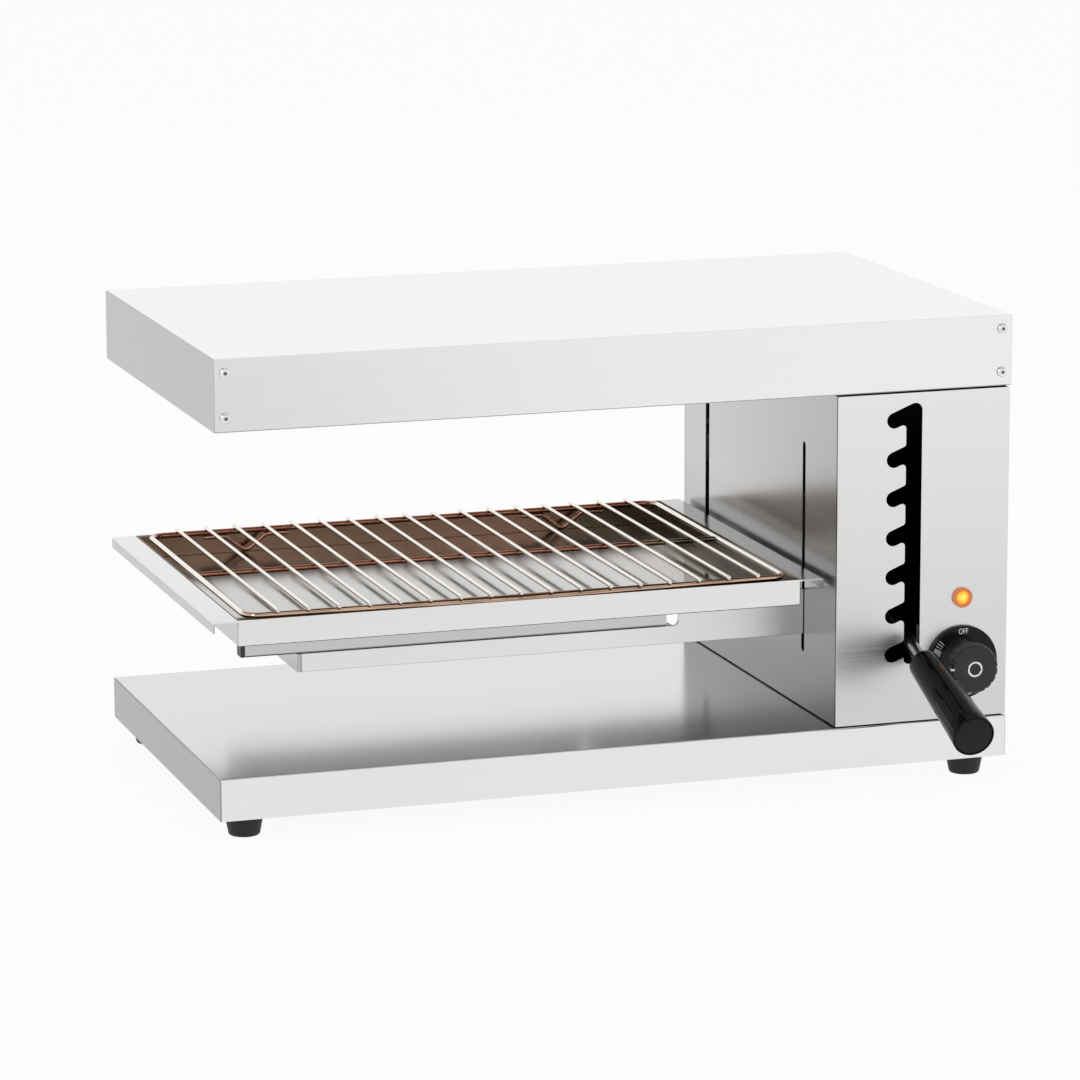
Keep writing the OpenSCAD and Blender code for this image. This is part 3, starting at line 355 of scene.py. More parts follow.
METALS = {
    "rod": ("ground_rod", (0.74, 0.74, 0.74), 0.18),
    "handle_rod": ("lever_steel", (0.42, 0.42, 0.42), 0.25),
    "bronze": ("bearing_bronze", (0.62, 0.46, 0.26), 0.32),
    "reflector": ("reflector_sheet", (0.87, 0.87, 0.87), 0.14, 60.0),
    "heater": ("heater_tube", (0.30, 0.17, 0.11), 0.45, 300.0),
    "bright_ring": ("bright_ring", (0.78, 0.78, 0.78), 0.2),
}
finishes.update({slot: plain_metal(*values) for slot, values in METALS.items()})
print("metals:", len(finishes))


# %% Rubber, plastic and ceramic
def moulded(name, colour, rough, speck, depth, gloss=0.5):
    plastic = Finish(name, Specular_IOR_Level=gloss)
    grainy = plastic.noise(speck, 3)
    cloud = plastic.noise(12.0, 2)
    worn = tone(*(c * 1.5 + 0.004 for c in colour))
    plastic.set("Base Color", plastic.blend(cloud * 0.5, tone(*colour), worn))
    plastic.set("Roughness", (rough + (grainy - 0.5) * 0.12 + (cloud - 0.5) * 0.06).clip())
    plastic.bump(grainy, depth, 0.05 * MM)
    return plastic.material


PLASTICS = {
    "rubber": ("foot_rubber", (0.013, 0.013, 0.0135), 0.55, 700.0, 0.25, 0.35),
    "cap": ("end_cap_plastic", (0.02, 0.02, 0.021), 0.45, 500.0, 0.1),
    "grip": ("grip_bakelite", (0.003, 0.003, 0.003), 0.1, 60.0, 0.01, 0.1),
    "grip_cap": ("grip_end_plastic", (0.007, 0.007, 0.007), 0.5, 900.0, 0.1, 0.2),
    "knob": ("knob_plastic", (0.013, 0.013, 0.0135), 0.28, 900.0, 0.12, 0.4),
    "dark_plastic": ("housing_plastic", (0.035, 0.035, 0.036), 0.45, 600.0, 0.1),
    "ceramic": ("ceramic_body", (0.78, 0.75, 0.69), 0.5, 250.0, 0.12),
    "lamp_ring": ("amber_ring", (0.72, 0.20, 0.045), 0.12, 60.0, 0.02, 0.7),
}
finishes.update({slot: moulded(*values) for slot, values in PLASTICS.items()})
print("moulded finishes ready")

# %% [markdown]
# ## The drip pan's heat tint
# Stainless sheet that is heated again and again turns straw, then brown. The pan is brown where the
# air stands still, at its back and along its right wall, and stays bright near the open front. Its
# outside, which stays cooler, is not tinted: the mask is open only above the floor and inside. The
# floor is scrubbed smooth; the left wall has a duller skin, and the right flange is darkened as a
# painted reflection of the column beside it.

# %% Pan finish
PAN_LOW, PAN_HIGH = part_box("pan")
BAR_Y = (RACK_LOW.y + RACK_HIGH.y) / 2
PAN_FLANGE, LIP = 18 * MM, 8 * MM


def pan_finish():
    pan = Finish("drip_pan_steel", Metallic=1.0)
    x, y, z = pan.spots()
    skin = SHEET / 2
    inside = x.above(PAN_LOW.x + PAN_FLANGE + skin) * x.below(PAN_HIGH.x - PAN_FLANGE - skin)
    inside = inside * y.above(PAN_LOW.y + skin) * y.below(PAN_HIGH.y - skin)
    inside = inside * z.above(PAN_LOW.z + skin)
    wall = pan.spread(z, PAN_LOW.z + SHEET, PAN_LOW.z + SHEET + 0.1 * MM)
    wall = wall * (1 - pan.spread(z, PAN_HIGH.z - 1.6 * MM, PAN_HIGH.z - 0.8 * MM)) * inside
    ripple = (pan.noise(9.0, 2) - 0.5) * 0.02
    rear = pan.spread(y + ripple, BAR_Y, BAR_Y + 0.05)
    right = pan.spread(x, RACK_HIGH.x - 0.09, RACK_HIGH.x - 0.02)
    left_side = x.below(PAN_LOW.x + PAN_FLANGE + skin) * z.below(PAN_HIGH.z - SHEET)
    hair = pan.noise(40.0, 2, GRAINS["X"])
    mottle = pan.spread(pan.noise(11.0, 3), 0.38, 0.62)
    brown = pan.blend(mottle, tone(0.25, 0.175, 0.11), tone(0.35, 0.20, 0.14))
    brown = pan.blend(right, brown, pan.blend(rear, tone(0.10, 0.085, 0.068), tone(0.20, 0.165, 0.12)))
    clean = pan.blend(hair, tone(0.75, 0.745, 0.74), tone(0.80, 0.795, 0.79))
    floor = pan.blend(hair, tone(0.47, 0.463, 0.453), tone(0.50, 0.493, 0.483))
    floor = pan.blend(right, floor, tone(0.33, 0.29, 0.235))
    clean = pan.blend(inside, clean, floor)
    clean = pan.blend(left_side, clean, tone(0.50, 0.50, 0.495))
    # Painted reflection: the right flange is darkened where the column stands beside it.
    clean = pan.blend(x.above(PAN_HIGH.x - PAN_FLANGE + skin), clean, tone(0.48, 0.475, 0.47))
    pan.set("Base Color", pan.blend(rear.calc("MAXIMUM", right) * wall, clean, brown))
    pan.set("Roughness", 0.20 + (hair - 0.5) * 0.04 - (inside - wall).clip() * (0.13 - rear * 0.08))
    pan.bump(hair, 0.01, 0.02 * MM)
    return pan.material


finishes["pan"] = pan_finish()
print("pan finish ready")

# %% [markdown]
# ## The pilot lamp
# The lens glows: yellow in the middle, where the lamp stands behind it, and orange towards the ring.
# One colour changes over the lens, for its glow and its base, and the glow's strength is one number.

# %% Lamp finishes
LENS = middle("lamp_lens")


def lens_finish():
    lens = Finish("lit_lens", Emission_Strength=0.75, Roughness=0.12)
    radius = lens.around(LENS)[2]
    facets = lens.add("TexVoronoi", {}, Vector=lens.place(), Scale=620.0)
    mask = lens.spread(radius + facets * 4.5 * MM, 2.2 * MM, 6.6 * MM)
    colour = lens.blend(mask, tone(1.0, 0.66, 0.12), tone(0.95, 0.34, 0.02))
    lens.set("Base Color", colour)
    lens.set("Emission Color", colour)
    lens.bump(facets, 0.8, 0.5 * MM)
    return lens.material


finishes["lamp_lens"] = lens_finish()
white_mark = Finish("white_marks", Base_Color=tone(0.85), Roughness=0.5).material
print("lamp finishes ready")

# %% [markdown]
# ## The dial's printed band
# A pale band runs round part of the dial. It needs two numbers at each point: the distance from the
# dial's middle and the angle round it. Between two angles the band stops, so that OFF stands clear.

# %% Dial finish
KNOB = middle("knob_dial")
BAND_INNER, BAND_OUTER = 19.4 * MM, 25.4 * MM
BAND_START, BAND_END = math.radians(151), math.radians(-68)


def dial_finish():
    dial = Finish("dial_plastic", Specular_IOR_Level=0.2, Roughness=0.12)
    across, up, radius = dial.around(KNOB)
    angle = up.calc("ARCTAN2", across)
    band = radius.above(BAND_INNER) * radius.below(BAND_OUTER)
    reach = angle.above(BAND_START).calc("MAXIMUM", angle.below(BAND_END))
    speck = dial.noise(300.0, 2)
    pale = dial.blend(speck, tone(0.36), tone(0.44))
    dial.set("Base Color", dial.blend(band * reach, tone(0.005), pale))
    return dial.material


finishes["dial"] = dial_finish()
print("finishes:", len(finishes))

# %% [markdown]
# ## Carrying the finishes over
# Every solid that stays visible gets the finish of its material slot. The record names the slot of
# each solid, so one loop dresses them all; pieces made later replace some of them.

# %% Dress the solids
for entry in frame["record"]["subparts"]:
    solid = nodes[entry["node"]]
    solid.data.materials.clear()
    solid.data.materials.append(finishes[entry["material_slot"]])
slot_of = {entry["node"]: entry["material_slot"] for entry in frame["record"]["subparts"]}
body_of = {node: body for body, members in frame["record"]["behaviour"]["bodies"].items() for node in members}
print("dressed", len(slot_of), "solids with", len(finishes), "finishes")

# %% [markdown]
# ## Helpers that make and keep a piece
# A finished piece is a plain mesh at the origin. `keep` gives it its finish, puts it on the body of
# the solid that it stands for, and hides that solid. `soften` rounds the edges: a narrow bevel is
# what catches the light along every folded or sheared edge of real sheet metal.

# %% Make, soften and keep
def as_object(name, mesh):
    piece = bpy.data.objects.new(name, mesh)
    bpy.context.scene.collection.objects.link(piece)
    return piece


def add_box(shape, low, high):
    for vertex in bmesh.ops.create_cube(shape, size=1)["verts"]:
        vertex.co = Vector(low[i] if vertex.co[i] < 0 else high[i] for i in range(3))


def join_rows(shape, rows, hollow=False):
    """Faces between rows of vertices; a hollow skin joins its end rows, another one closes them."""
    for a, b in zip(rows, rows[1:] + rows[:1] if hollow else rows[1:]):
        for k in range(len(a)):
            shape.faces.new([a[k - 1], a[k], b[k], b[k - 1]])
    if not hollow:
        shape.faces.new(rows[0])
        shape.faces.new(rows[-1])


def from_bmesh(name, shape, outward=True):
    """Makes an object of a shape, whose faces are first turned outward."""
    if outward:
        bmesh.ops.recalc_face_normals(shape, faces=shape.faces)
    mesh = bpy.data.meshes.new(name)
    shape.to_mesh(mesh)
    shape.free()
    return as_object(name, mesh)


def flatten(piece):
    """Turns a piece with its modifiers into a plain mesh."""
    graph = bpy.context.evaluated_depsgraph_get()
    graph.update()
    mesh = bpy.data.meshes.new_from_object(piece.evaluated_get(graph))
    piece.modifiers.clear()
    piece.data = mesh
    return piece


def crisp(piece, sharp=35):
    """Smooth shading that stops at edges sharper than an angle."""
    piece.data.shade_smooth()
    piece.data.set_sharp_from_angle(angle=math.radians(sharp))
    return piece


def smooth(piece, sharp=35):
    """Crisp shading that keeps large faces flat: their normals win over those of narrow bends."""
    even = crisp(piece, sharp).modifiers.new("even", "WEIGHTED_NORMAL")
    even.keep_sharp, even.weight = True, 90
    return flatten(piece)


def soften(piece, width, segments=2, angle=40):
    bevel = piece.modifiers.new("edges", "BEVEL")
    bevel.width = width
    bevel.segments = segments
    bevel.limit_method = "ANGLE"
    bevel.angle_limit = math.radians(angle)
    return smooth(flatten(piece), 50)


def keep(piece, *solids, finish=None):
    slot = slot_of[solids[0]]
    piece.data.materials.clear()
    piece.data.materials.append(finishes[finish or slot])
    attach(piece, body_of[solids[0]])
    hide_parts(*solids)
    print(piece.name, "stands for", ", ".join(solids), "-", len(piece.data.polygons), "faces")
    return piece


# %% [markdown]
# ## Folded boxes
# Base and hood are trays: a top with walls folded down from it. A box loses its open side, the
# folded edges get their radius, and Solidify gives the sheet its thickness towards the inside.

# %% Base box and hood box
FOLD, HOOD_FOLD = 1.6 * MM, 1.2 * MM
BELOW, ABOVE, AHEAD = (0, 0, -1), (0, 0, 1), (0, -1, 0)


def tray(name, low, high, open_sides, fold):
    shape = bmesh.new()
    add_box(shape, low, high)
    gone = [f for f in shape.faces if any(f.normal.dot(Vector(side)) > 0.9 for side in open_sides)]
    bmesh.ops.delete(shape, geom=gone, context="FACES")
    bmesh.ops.recalc_face_normals(shape, faces=shape.faces)
    half = (low.z + high.z) / 2
    if sum(f.normal.z * (f.calc_center_median().z - half) for f in shape.faces) < 0:
        bmesh.ops.reverse_faces(shape, faces=shape.faces)
    piece = from_bmesh(name, shape, outward=False)
    bevel = piece.modifiers.new("folds", "BEVEL")
    bevel.width, bevel.segments, bevel.limit_method = fold, 4, "ANGLE"
    wall = piece.modifiers.new("sheet", "SOLIDIFY")
    wall.thickness, wall.offset = SHEET, -1
    wall.use_even_offset = True
    return smooth(flatten(piece))


keep(tray("base_box", *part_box("base_cover"), [BELOW], FOLD), "base_cover")
keep(tray("hood_box", *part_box("hood_cover"), [BELOW, AHEAD], HOOD_FOLD), "hood_cover", finish="hood")

# %% [markdown]
# ## Cut panels
# A panel is an outline with holes. The outline's corners are rounded by a small function, a
# constrained triangulation fills it, and the triangles outside or in a hole are thrown away. What is
# left is pushed back by the sheet's thickness, and its cut edge gets a fine chamfer.

# %% Rounded outlines
def rounded(corners, steps=6):
    """A closed outline through (x, y, radius) corners, with each corner rounded by its radius."""
    outline = []
    for i, (x, y, radius) in enumerate(corners):
        here = Vector((x, y))
        before = (Vector(corners[i - 1][:2]) - here).normalized()
        after = (Vector(corners[(i + 1) % len(corners)][:2]) - here).normalized()
        if radius == 0:
            outline.append(here)
            continue
        half = before.angle(after) / 2
        centre = here + (before + after).normalized() * radius / math.sin(half)
        start = here + before * radius / math.tan(half) - centre
        end = here + after * radius / math.tan(half) - centre
        turn = start.angle_signed(end)
        for k in range(steps + 1):
            part = Matrix.Rotation(-turn * k / steps, 2)
            outline.append(centre + part @ start)
    return outline


def round_hole(x, y, radius, steps=32):
    return [Vector((x + radius * math.cos(a), y + radius * math.sin(a)))
            for a in (2 * math.pi * k / steps for k in range(steps))]


def slot_hole(x, low, high, width):
    r = width / 2 * 0.999
    return rounded([(x - r, low, r), (x + r, low, r), (x + r, high, r), (x - r, high, r)])


print("a rounded square has", len(rounded([(0, 0, 1), (9, 0, 1), (9, 9, 1), (0, 9, 1)])), "points")


# %% Panels from outlines
def is_inside(point, outline):
    hit = False
    for a, b in zip(outline, outline[1:] + outline[:1]):
        if (a.y > point.y) != (b.y > point.y):
            hit ^= point.x < a.x + (point.y - a.y) * (b.x - a.x) / (b.y - a.y)
    return hit


def add_panel(shape, outlines, place, thickness):
    """place turns a drawing's (u, v, depth) into a point; outlines[0] is the rim, the rest are holes."""
    points, edges = [], []
    for outline in outlines:
        first = len(points)
        points += outline
        edges += [(first + k, first + (k + 1) % len(outline)) for k in range(len(outline))]
    flat, _, faces, *_ = delaunay_2d_cdt(points, edges, [], 1, 1e-9)
    verts = [shape.verts.new(place(p.x, p.y, 0)) for p in flat]
    kept = []
    for face in faces:
        centre = sum((flat[k] for k in face), Vector((0, 0))) / len(face)
        if sum(is_inside(centre, outline) for outline in outlines) == 1:
            kept.append(shape.faces.new([verts[k] for k in face]))
    grown = bmesh.ops.extrude_face_region(shape, geom=kept)
    shift = place(0, 0, thickness) - place(0, 0, 0)
    moved = [v for v in grown["geom"] if isinstance(v, bmesh.types.BMVert)]
    bmesh.ops.translate(shape, vec=shift, verts=moved)
    bmesh.ops.delete(shape, geom=[v for v in shape.verts if not v.link_faces], context="VERTS")


def on_front(y):
    return lambda u, v, depth: Vector((u, y + depth, v))


def on_side(x):
    return lambda u, v, depth: Vector((x + depth, u, v))


print("panel helpers ready")

# %% [markdown]
# ## The comb
# The lever's rod rests in one of seven notches that run down to the left from an upright channel.
# The outline is one walk: up the right side of the channel, down the slanting top of the highest
# notch, round its end and back, and so on from notch to notch. Each tooth has its rounded corner.

# %% Comb outline
RUN, SLOPE, PITCH = 15.5 * MM, math.radians(22), 29.1 * MM
NOTCH_R, CHANNEL_W, NOTCHES = 5.8 * MM, 12.5 * MM, 7
CHANNEL_X = COLUMN_L + 59.3 * MM
NOTCH_Z = DECK + 52 * MM
CHANNEL_FOOT = NOTCH_Z - 7.7 * MM
FOOT_R, TOP_R, TOOTH_R, LOWER_R, LAST_R = 4 * MM, 5.5 * MM, 2.2 * MM, 2.6 * MM, 0.6 * MM
along, across = Vector((math.cos(SLOPE), math.sin(SLOPE))), Vector((-math.sin(SLOPE), math.cos(SLOPE)))


def edge_at(x, z_end, side):
    """The point at x on a notch's lower (-1) or upper (1) side."""
    start = Vector((CHANNEL_X - RUN, z_end)) + across * NOTCH_R * side
    return start + along * (x - start.x) / along.x


def comb_outline():
    left, right = CHANNEL_X - CHANNEL_W / 2, CHANNEL_X + CHANNEL_W / 2
    walk = [(left, CHANNEL_FOOT, FOOT_R), (right, CHANNEL_FOOT, FOOT_R)]
    walk.append((*edge_at(right, NOTCH_Z + (NOTCHES - 1) * PITCH, 1), TOP_R))
    for i in reversed(range(NOTCHES)):
        z_end = NOTCH_Z + i * PITCH
        if i < NOTCHES - 1:
            walk.append((*edge_at(left, z_end, 1), TOOTH_R))
        for side in (1, -1):
            end = Vector((CHANNEL_X - RUN, z_end)) + across * NOTCH_R * side - along * NOTCH_R
            walk.append((*end, NOTCH_R * 0.999))
        walk.append((*edge_at(left, z_end, -1), LOWER_R if i else LAST_R))
    return rounded(walk)


comb = comb_outline()
print("comb outline:", len(comb), "points")


# %% The column's panels
def rectangle(u0, v0, u1, v1, radius=0.0):
    return rounded([(u0, v0, radius), (u1, v0, radius), (u1, v1, radius), (u0, v1, radius)])


FLANGE = 12 * MM
GAP = 0.2 * MM
SEAM = 1.5 * MM
PANEL_LOW, PANEL_TOP = DECK + SEAM * 0.7, HOOD_LOW - SEAM


def panel(name, node, outlines, place, edge, finish, boxes=()):
    """A cut panel with boxes behind it, such as its flanges."""
    shape = bmesh.new()
    add_panel(shape, outlines, place, PANEL)
    for low, high in boxes:
        add_box(shape, low, high)
    keep(soften(from_bmesh(name, shape), edge * MM), node, finish=finish)


def column_face(name, node, y, flange_y, holes, finish, plates=()):
    """The front or back panel, with the two flanges that hold it."""
    rim = rectangle(COLUMN_L, PANEL_LOW, COLUMN_R, PANEL_TOP, 0.4 * MM)
    x0, x1 = COLUMN_L + PANEL + GAP, COLUMN_R - PANEL - GAP
    flanges = [((x0, flange_y, z), (x1, flange_y + FLANGE, z + SHEET)) for z in (DECK, HOOD_LOW - SHEET)]
    panel(name, node, [rim] + holes, on_front(y), 0.25, finish, [*flanges, *plates])


front_holes = [comb, round_hole(KNOB.x, KNOB.z, 4 * MM), round_hole(LENS.x, LENS.z, 5.5 * MM)]
column_face("comb_panel", "column_front", FRONT, FRONT + PANEL + 2 * MM, front_holes, "panel")

VENT_ROWS = (DECK + 70 * MM, HOOD_LOW - 50 * MM)
VENTS, VENT_W, VENT_HALF = 9, 4 * MM, 13 * MM
VENT_X, VENT_STEP = COLUMN_L + 20 * MM, 94.5 * MM / 8
vents = [slot_hole(VENT_X + VENT_STEP * i, z - VENT_HALF, z + VENT_HALF, VENT_W)
         for i in range(VENTS) for z in VENT_ROWS]
BAFFLE_L, BAFFLE_R, BAFFLE_Y, BAFFLE_HALF = COLUMN_L + 14 * MM, COLUMN_L + 120.5 * MM, BACK - 8 * MM, 18 * MM
baffles = []
for z in VENT_ROWS:
    for x0, x1, y1 in ((BAFFLE_L, BAFFLE_L + MM, BACK - PANEL), (BAFFLE_R - MM, BAFFLE_R, BACK - PANEL),
                       (BAFFLE_L, BAFFLE_R, BAFFLE_Y + MM)):
        baffles.append(((x0, BAFFLE_Y, z - BAFFLE_HALF), (x1, y1, z + BAFFLE_HALF)))
gland_hole = round_hole(COLUMN_R - 30 * MM, DECK + 28 * MM, 6 * MM)
back_y = BACK - PANEL
column_face("vented_back", "column_back", back_y, back_y - FLANGE, vents + [gland_hole], "back", baffles)

# %% The column's side walls
ARM_SLOTS = ((68, 6.0), (277, 8.5))
arm_low, arm_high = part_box("arm_front")
SLOT_LOW, SLOT_HIGH = arm_low.z - 13.8 * MM, arm_high.z + 111.1 * MM


def column_side(name, node, x, flange_x, holes, finish):
    """A side wall; its flanges at foot and head run along its inner face."""
    rim = rectangle(FRONT + PANEL + SEAM * 0.6, PANEL_LOW, BACK - PANEL, PANEL_TOP)
    y0, y1, tall = FRONT + FLANGE * 2, BACK - FLANGE * 2, SHEET + SEAM
    flanges = [((flange_x, y0, z), (flange_x + FLANGE, y1, z + tall)) for z in (DECK, HOOD_LOW - tall)]
    panel(name, node, [rim] + holes, on_side(x), 0.2, finish, flanges)


slots = [slot_hole(FRONT + y * MM, SLOT_LOW, SLOT_HIGH, width * MM) for y, width in ARM_SLOTS]
cover_x = COLUMN_R - PANEL
column_side("slotted_wall", "column_left", COLUMN_L, COLUMN_L + PANEL, slots, "column_left")
column_side("side_cover", "column_right", cover_x, cover_x - FLANGE, [], "column_side")

# %% [markdown]
# ## Dressed copies
# Some solids have the right shape already and only need their edges broken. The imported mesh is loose
# triangles, so a copy is merged and its flat parts are dissolved into whole faces before the bevel.

# %% Broken edges on simple solids
BROKEN_EDGES = {"arm_front": (0.35, 2), "arm_rear": (0.35, 2), "arm_end": (0.35, 2), "runner_caps": (0.8, 3),
                "base_plate": (0.2, 1), "carriage_plate": (0.3, 1), "terminal_block": (0.3, 1)}


def dressed(node, width, segments):
    shape = bmesh.new()
    shape.from_mesh(nodes[node].data)
    bmesh.ops.remove_doubles(shape, verts=shape.verts, dist=0.002 * MM)
    bmesh.ops.dissolve_limit(shape, angle_limit=math.radians(1), verts=shape.verts, edges=shape.edges)
    return keep(soften(from_bmesh(node + "_piece", shape), width * MM, segments), node)


low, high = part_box("hood_front")
rim = rectangle(low.x, low.z, high.x, high.z - 0.25 * MM, 0.5 * MM)
panel("hood_fascia", "hood_front", [rim], on_front(FRONT), 0.3, "fascia")
for node, edge in BROKEN_EDGES.items():
    dressed(node, *edge)

# %% [markdown]
# ## Runners
# A runner is a square tube with rounded corners. Its section is a rounded rectangle with a rounded
# hole, so the panel helper can draw it too: the "sheet" is then as thick as the tube is long.

# %% Square tubes
def runner(node):
    low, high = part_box(node)
    wall = 1.5 * MM
    outer = rectangle(low.y, low.z, high.y, high.z, 2.2 * MM)
    inner = rectangle(low.y + wall, low.z + wall, high.y - wall, high.z - wall, 0.9 * MM)
    shape = bmesh.new()
    add_panel(shape, [outer, inner], on_side(low.x), high.x - low.x)
    return keep(soften(from_bmesh(node + "_tube", shape), 0.15 * MM, 1, 50), node)


for node in ("runner_front", "runner_rear"):
    runner(node)

# %% [markdown]
# ## The drip pan
# The pan is one sheet: a floor, four low walls, and at both ends a flange that turns out and down.
# The tray comes from the folded box helper, upside down. Each flange is a bent strip: its section is
# drawn as a line with one bend and pushed along the pan's depth.

# %% Pan
low, high = PAN_LOW.copy(), PAN_HIGH.copy()
low.x, high.x = low.x + PAN_FLANGE, high.x - PAN_FLANGE
drip_pan = tray("drip_pan", low, high, [ABOVE], FOLD)


def bent_strip(shape, line, y0, y1):
    """A strip of sheet whose section follows line, (x, z) points with folds between, from y0 to y1."""
    path, steps = [], 4
    for i, point in enumerate(line):
        here = Vector(point)
        if i in (0, len(line) - 1):
            path.append(here)
            continue
        before, after = (Vector(line[j]) - here for j in (i - 1, i + 1))
        for k in range(steps + 1):
            t = k / steps
            a = here + before.normalized() * FOLD * (1 - t)
            b = here + after.normalized() * FOLD * t
            path.append(a * (1 - t) + b * t)
    rows = []
    for i, point in enumerate(path):
        tangent = (path[min(i + 1, len(path) - 1)] - path[max(i - 1, 0)]).normalized()
        normal = Vector((-tangent.y, tangent.x)) * SHEET / 2
        top, low = point + normal, point - normal
        corners = ((top.x, y0, top.y), (top.x, y1, top.y), (low.x, y1, low.y), (low.x, y0, low.y))
        rows.append([shape.verts.new(corner) for corner in corners])
    join_rows(shape, rows)


shape = bmesh.new()
rim_mid, overlap = PAN_HIGH.z - SHEET / 2, SHEET * 0.7
for wall_x, out_x in ((low.x + overlap, PAN_LOW.x + SHEET / 2), (high.x - overlap, PAN_HIGH.x - SHEET / 2)):
    bent_strip(shape, [(wall_x, rim_mid), (out_x, rim_mid), (out_x, PAN_HIGH.z - LIP)], PAN_LOW.y, PAN_HIGH.y)
flanges = crisp(from_bmesh("pan_flanges", shape))
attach(flanges, "pan")
flanges.data.materials.append(finishes["pan"])
keep(drip_pan, "pan")

# %% [markdown]
# ## Geometry Nodes as a workshop
# What repeats is made by Geometry Nodes: screws, wires and feet. One small class builds such a tree:
# it adds the named inputs, adds nodes and links them, and ends in Realize Instances and Set Material.
# `grow` puts the tree on a mesh, sets the inputs by their identifiers and keeps the plain result.

# %% Node trees for geometry
class Workshop:
    def __init__(self, name, **inputs):
        self.tree = bpy.data.node_groups.new(name, "GeometryNodeTree")
        self.keys = {}
        face = self.tree.interface
        face.new_socket("Geometry", in_out="INPUT", socket_type="NodeSocketGeometry")
        for label, kind in inputs.items():
            socket = face.new_socket(label, in_out="INPUT", socket_type="NodeSocket" + kind)
            self.keys[label] = socket.identifier
        face.new_socket("Geometry", in_out="OUTPUT", socket_type="NodeSocketGeometry")
        self.start = self.tree.nodes.new("NodeGroupInput")

    def value(self, label):
        return self.start.outputs[label]

    def add(self, kind, settings, *values, out=0, **named):
        return new_node(self.tree, kind, settings, *values, **named).outputs[out]

    def end(self, geometry, material):
        real = self.add("GeometryNodeRealizeInstances", {}, geometry)
        done = self.add("GeometryNodeSetMaterial", {}, real, Material=material)
        new_node(self.tree, "NodeGroupOutput", {}, done)
        return self

    def grow(self, name, points, edges=(), **values):
        mesh = bpy.data.meshes.new(name)
        mesh.from_pydata([tuple(p) for p in points], list(edges), [])
        return self.work(as_object(name, mesh), **values)

    def work(self, piece, **values):
        modifier = piece.modifiers.new(self.tree.name, "NODES")
        modifier.node_group = self.tree
        for label, value in values.items():
            modifier[self.keys[label]] = value
        return flatten(piece)


print("node workshop ready")

# %% [markdown]
# ## Wires
# A wire is a path, a bending radius and a thickness. The tree turns the edges of a mesh into curves,
# rounds their corners with Fillet Curve and sweeps a circle along them. It also stores how far each
# corner of a face looks up, which the wires' finish reads to paint shade underneath. The rack's frame,
# its middle bar and its four feet use it as it is; for the cross wires, one wire is repeated along a line.

# %% The wire tree
def wire_tree(name, finish, repeated=False):
    shop = Workshop(name, Thickness="Float", Bend="Float", Count="Int", Step="Vector")
    wires = shop.value("Geometry")
    curve = shop.add("GeometryNodeMeshToCurve", {}, wires)
    bent = shop.add("GeometryNodeFilletCurve", {"mode": "POLY"}, curve, Radius=shop.value("Bend"), Count=7)
    radius = shop.add("ShaderNodeMath", {"operation": "MULTIPLY"}, shop.value("Thickness"), 0.5)
    ring = shop.add("GeometryNodeCurvePrimitiveCircle", {}, Resolution=20, Radius=radius)
    body = shop.add("GeometryNodeCurveToMesh", {}, bent, ring)
    body.node.inputs["Fill Caps"].default_value = True
    facing = shop.add("ShaderNodeSeparateXYZ", {}, shop.add("GeometryNodeInputNormal", {}), out=2)
    stored = {"data_type": "FLOAT", "domain": "CORNER"}
    body = shop.add("GeometryNodeStoreNamedAttribute", stored, body, Name="facing", Value=facing)
    if repeated:
        line = shop.add("GeometryNodeMeshLine", {}, Count=shop.value("Count"), Offset=shop.value("Step"))
        body = shop.add("GeometryNodeInstanceOnPoints", {}, line, Instance=body)
    return shop.end(body, finish)


bend_tree = wire_tree("bent_wire", finishes["wire"])
row_tree = wire_tree("wire_row", finishes["wire"], True)
print("wire trees ready")


# %% The rack
FRAME_WIRE, FRAME_BEND = RACK_HIGH.z - RACK_LOW.z, 12 * MM
half = FRAME_WIRE / 2
x0, x1, y0, y1 = RACK_LOW.x + half, RACK_HIGH.x - half, RACK_LOW.y + half, RACK_HIGH.y - half
z = RACK_LOW.z + half
loop = [((x0 + x1) / 2, y0, z), (x1, y0, z), (x1, y1, z), (x0, y1, z), (x0, y0, z)]
edges = [(i, (i + 1) % 5) for i in range(5)]
loop = bend_tree.grow("rack_loop", loop, edges, Thickness=FRAME_WIRE, Bend=FRAME_BEND)
keep(loop, "rack_frame", finish="frame_wire")

low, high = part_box("rack_bar")
_, y, z = middle("rack_bar")
bar = bend_tree.grow("rack_middle_bar", [(low.x, y, z), (high.x, y, z)], [(0, 1)],
                     Thickness=high.z - low.z, Bend=0.0)
keep(bar, "rack_bar", finish="bar_wire")

WIRES = 17
low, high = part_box("rack_cross_wires")
wire = high.z - low.z
step = (high.x - low.x - wire) / (WIRES - 1)
x, z = low.x + wire / 2, low.z + wire / 2
row = row_tree.grow("rack_wires", [(x, low.y, z), (x, high.y, z)], [(0, 1)], Thickness=wire, Bend=0.0,
                    Count=WIRES, Step=(step, 0, 0))
keep(row, "rack_cross_wires")

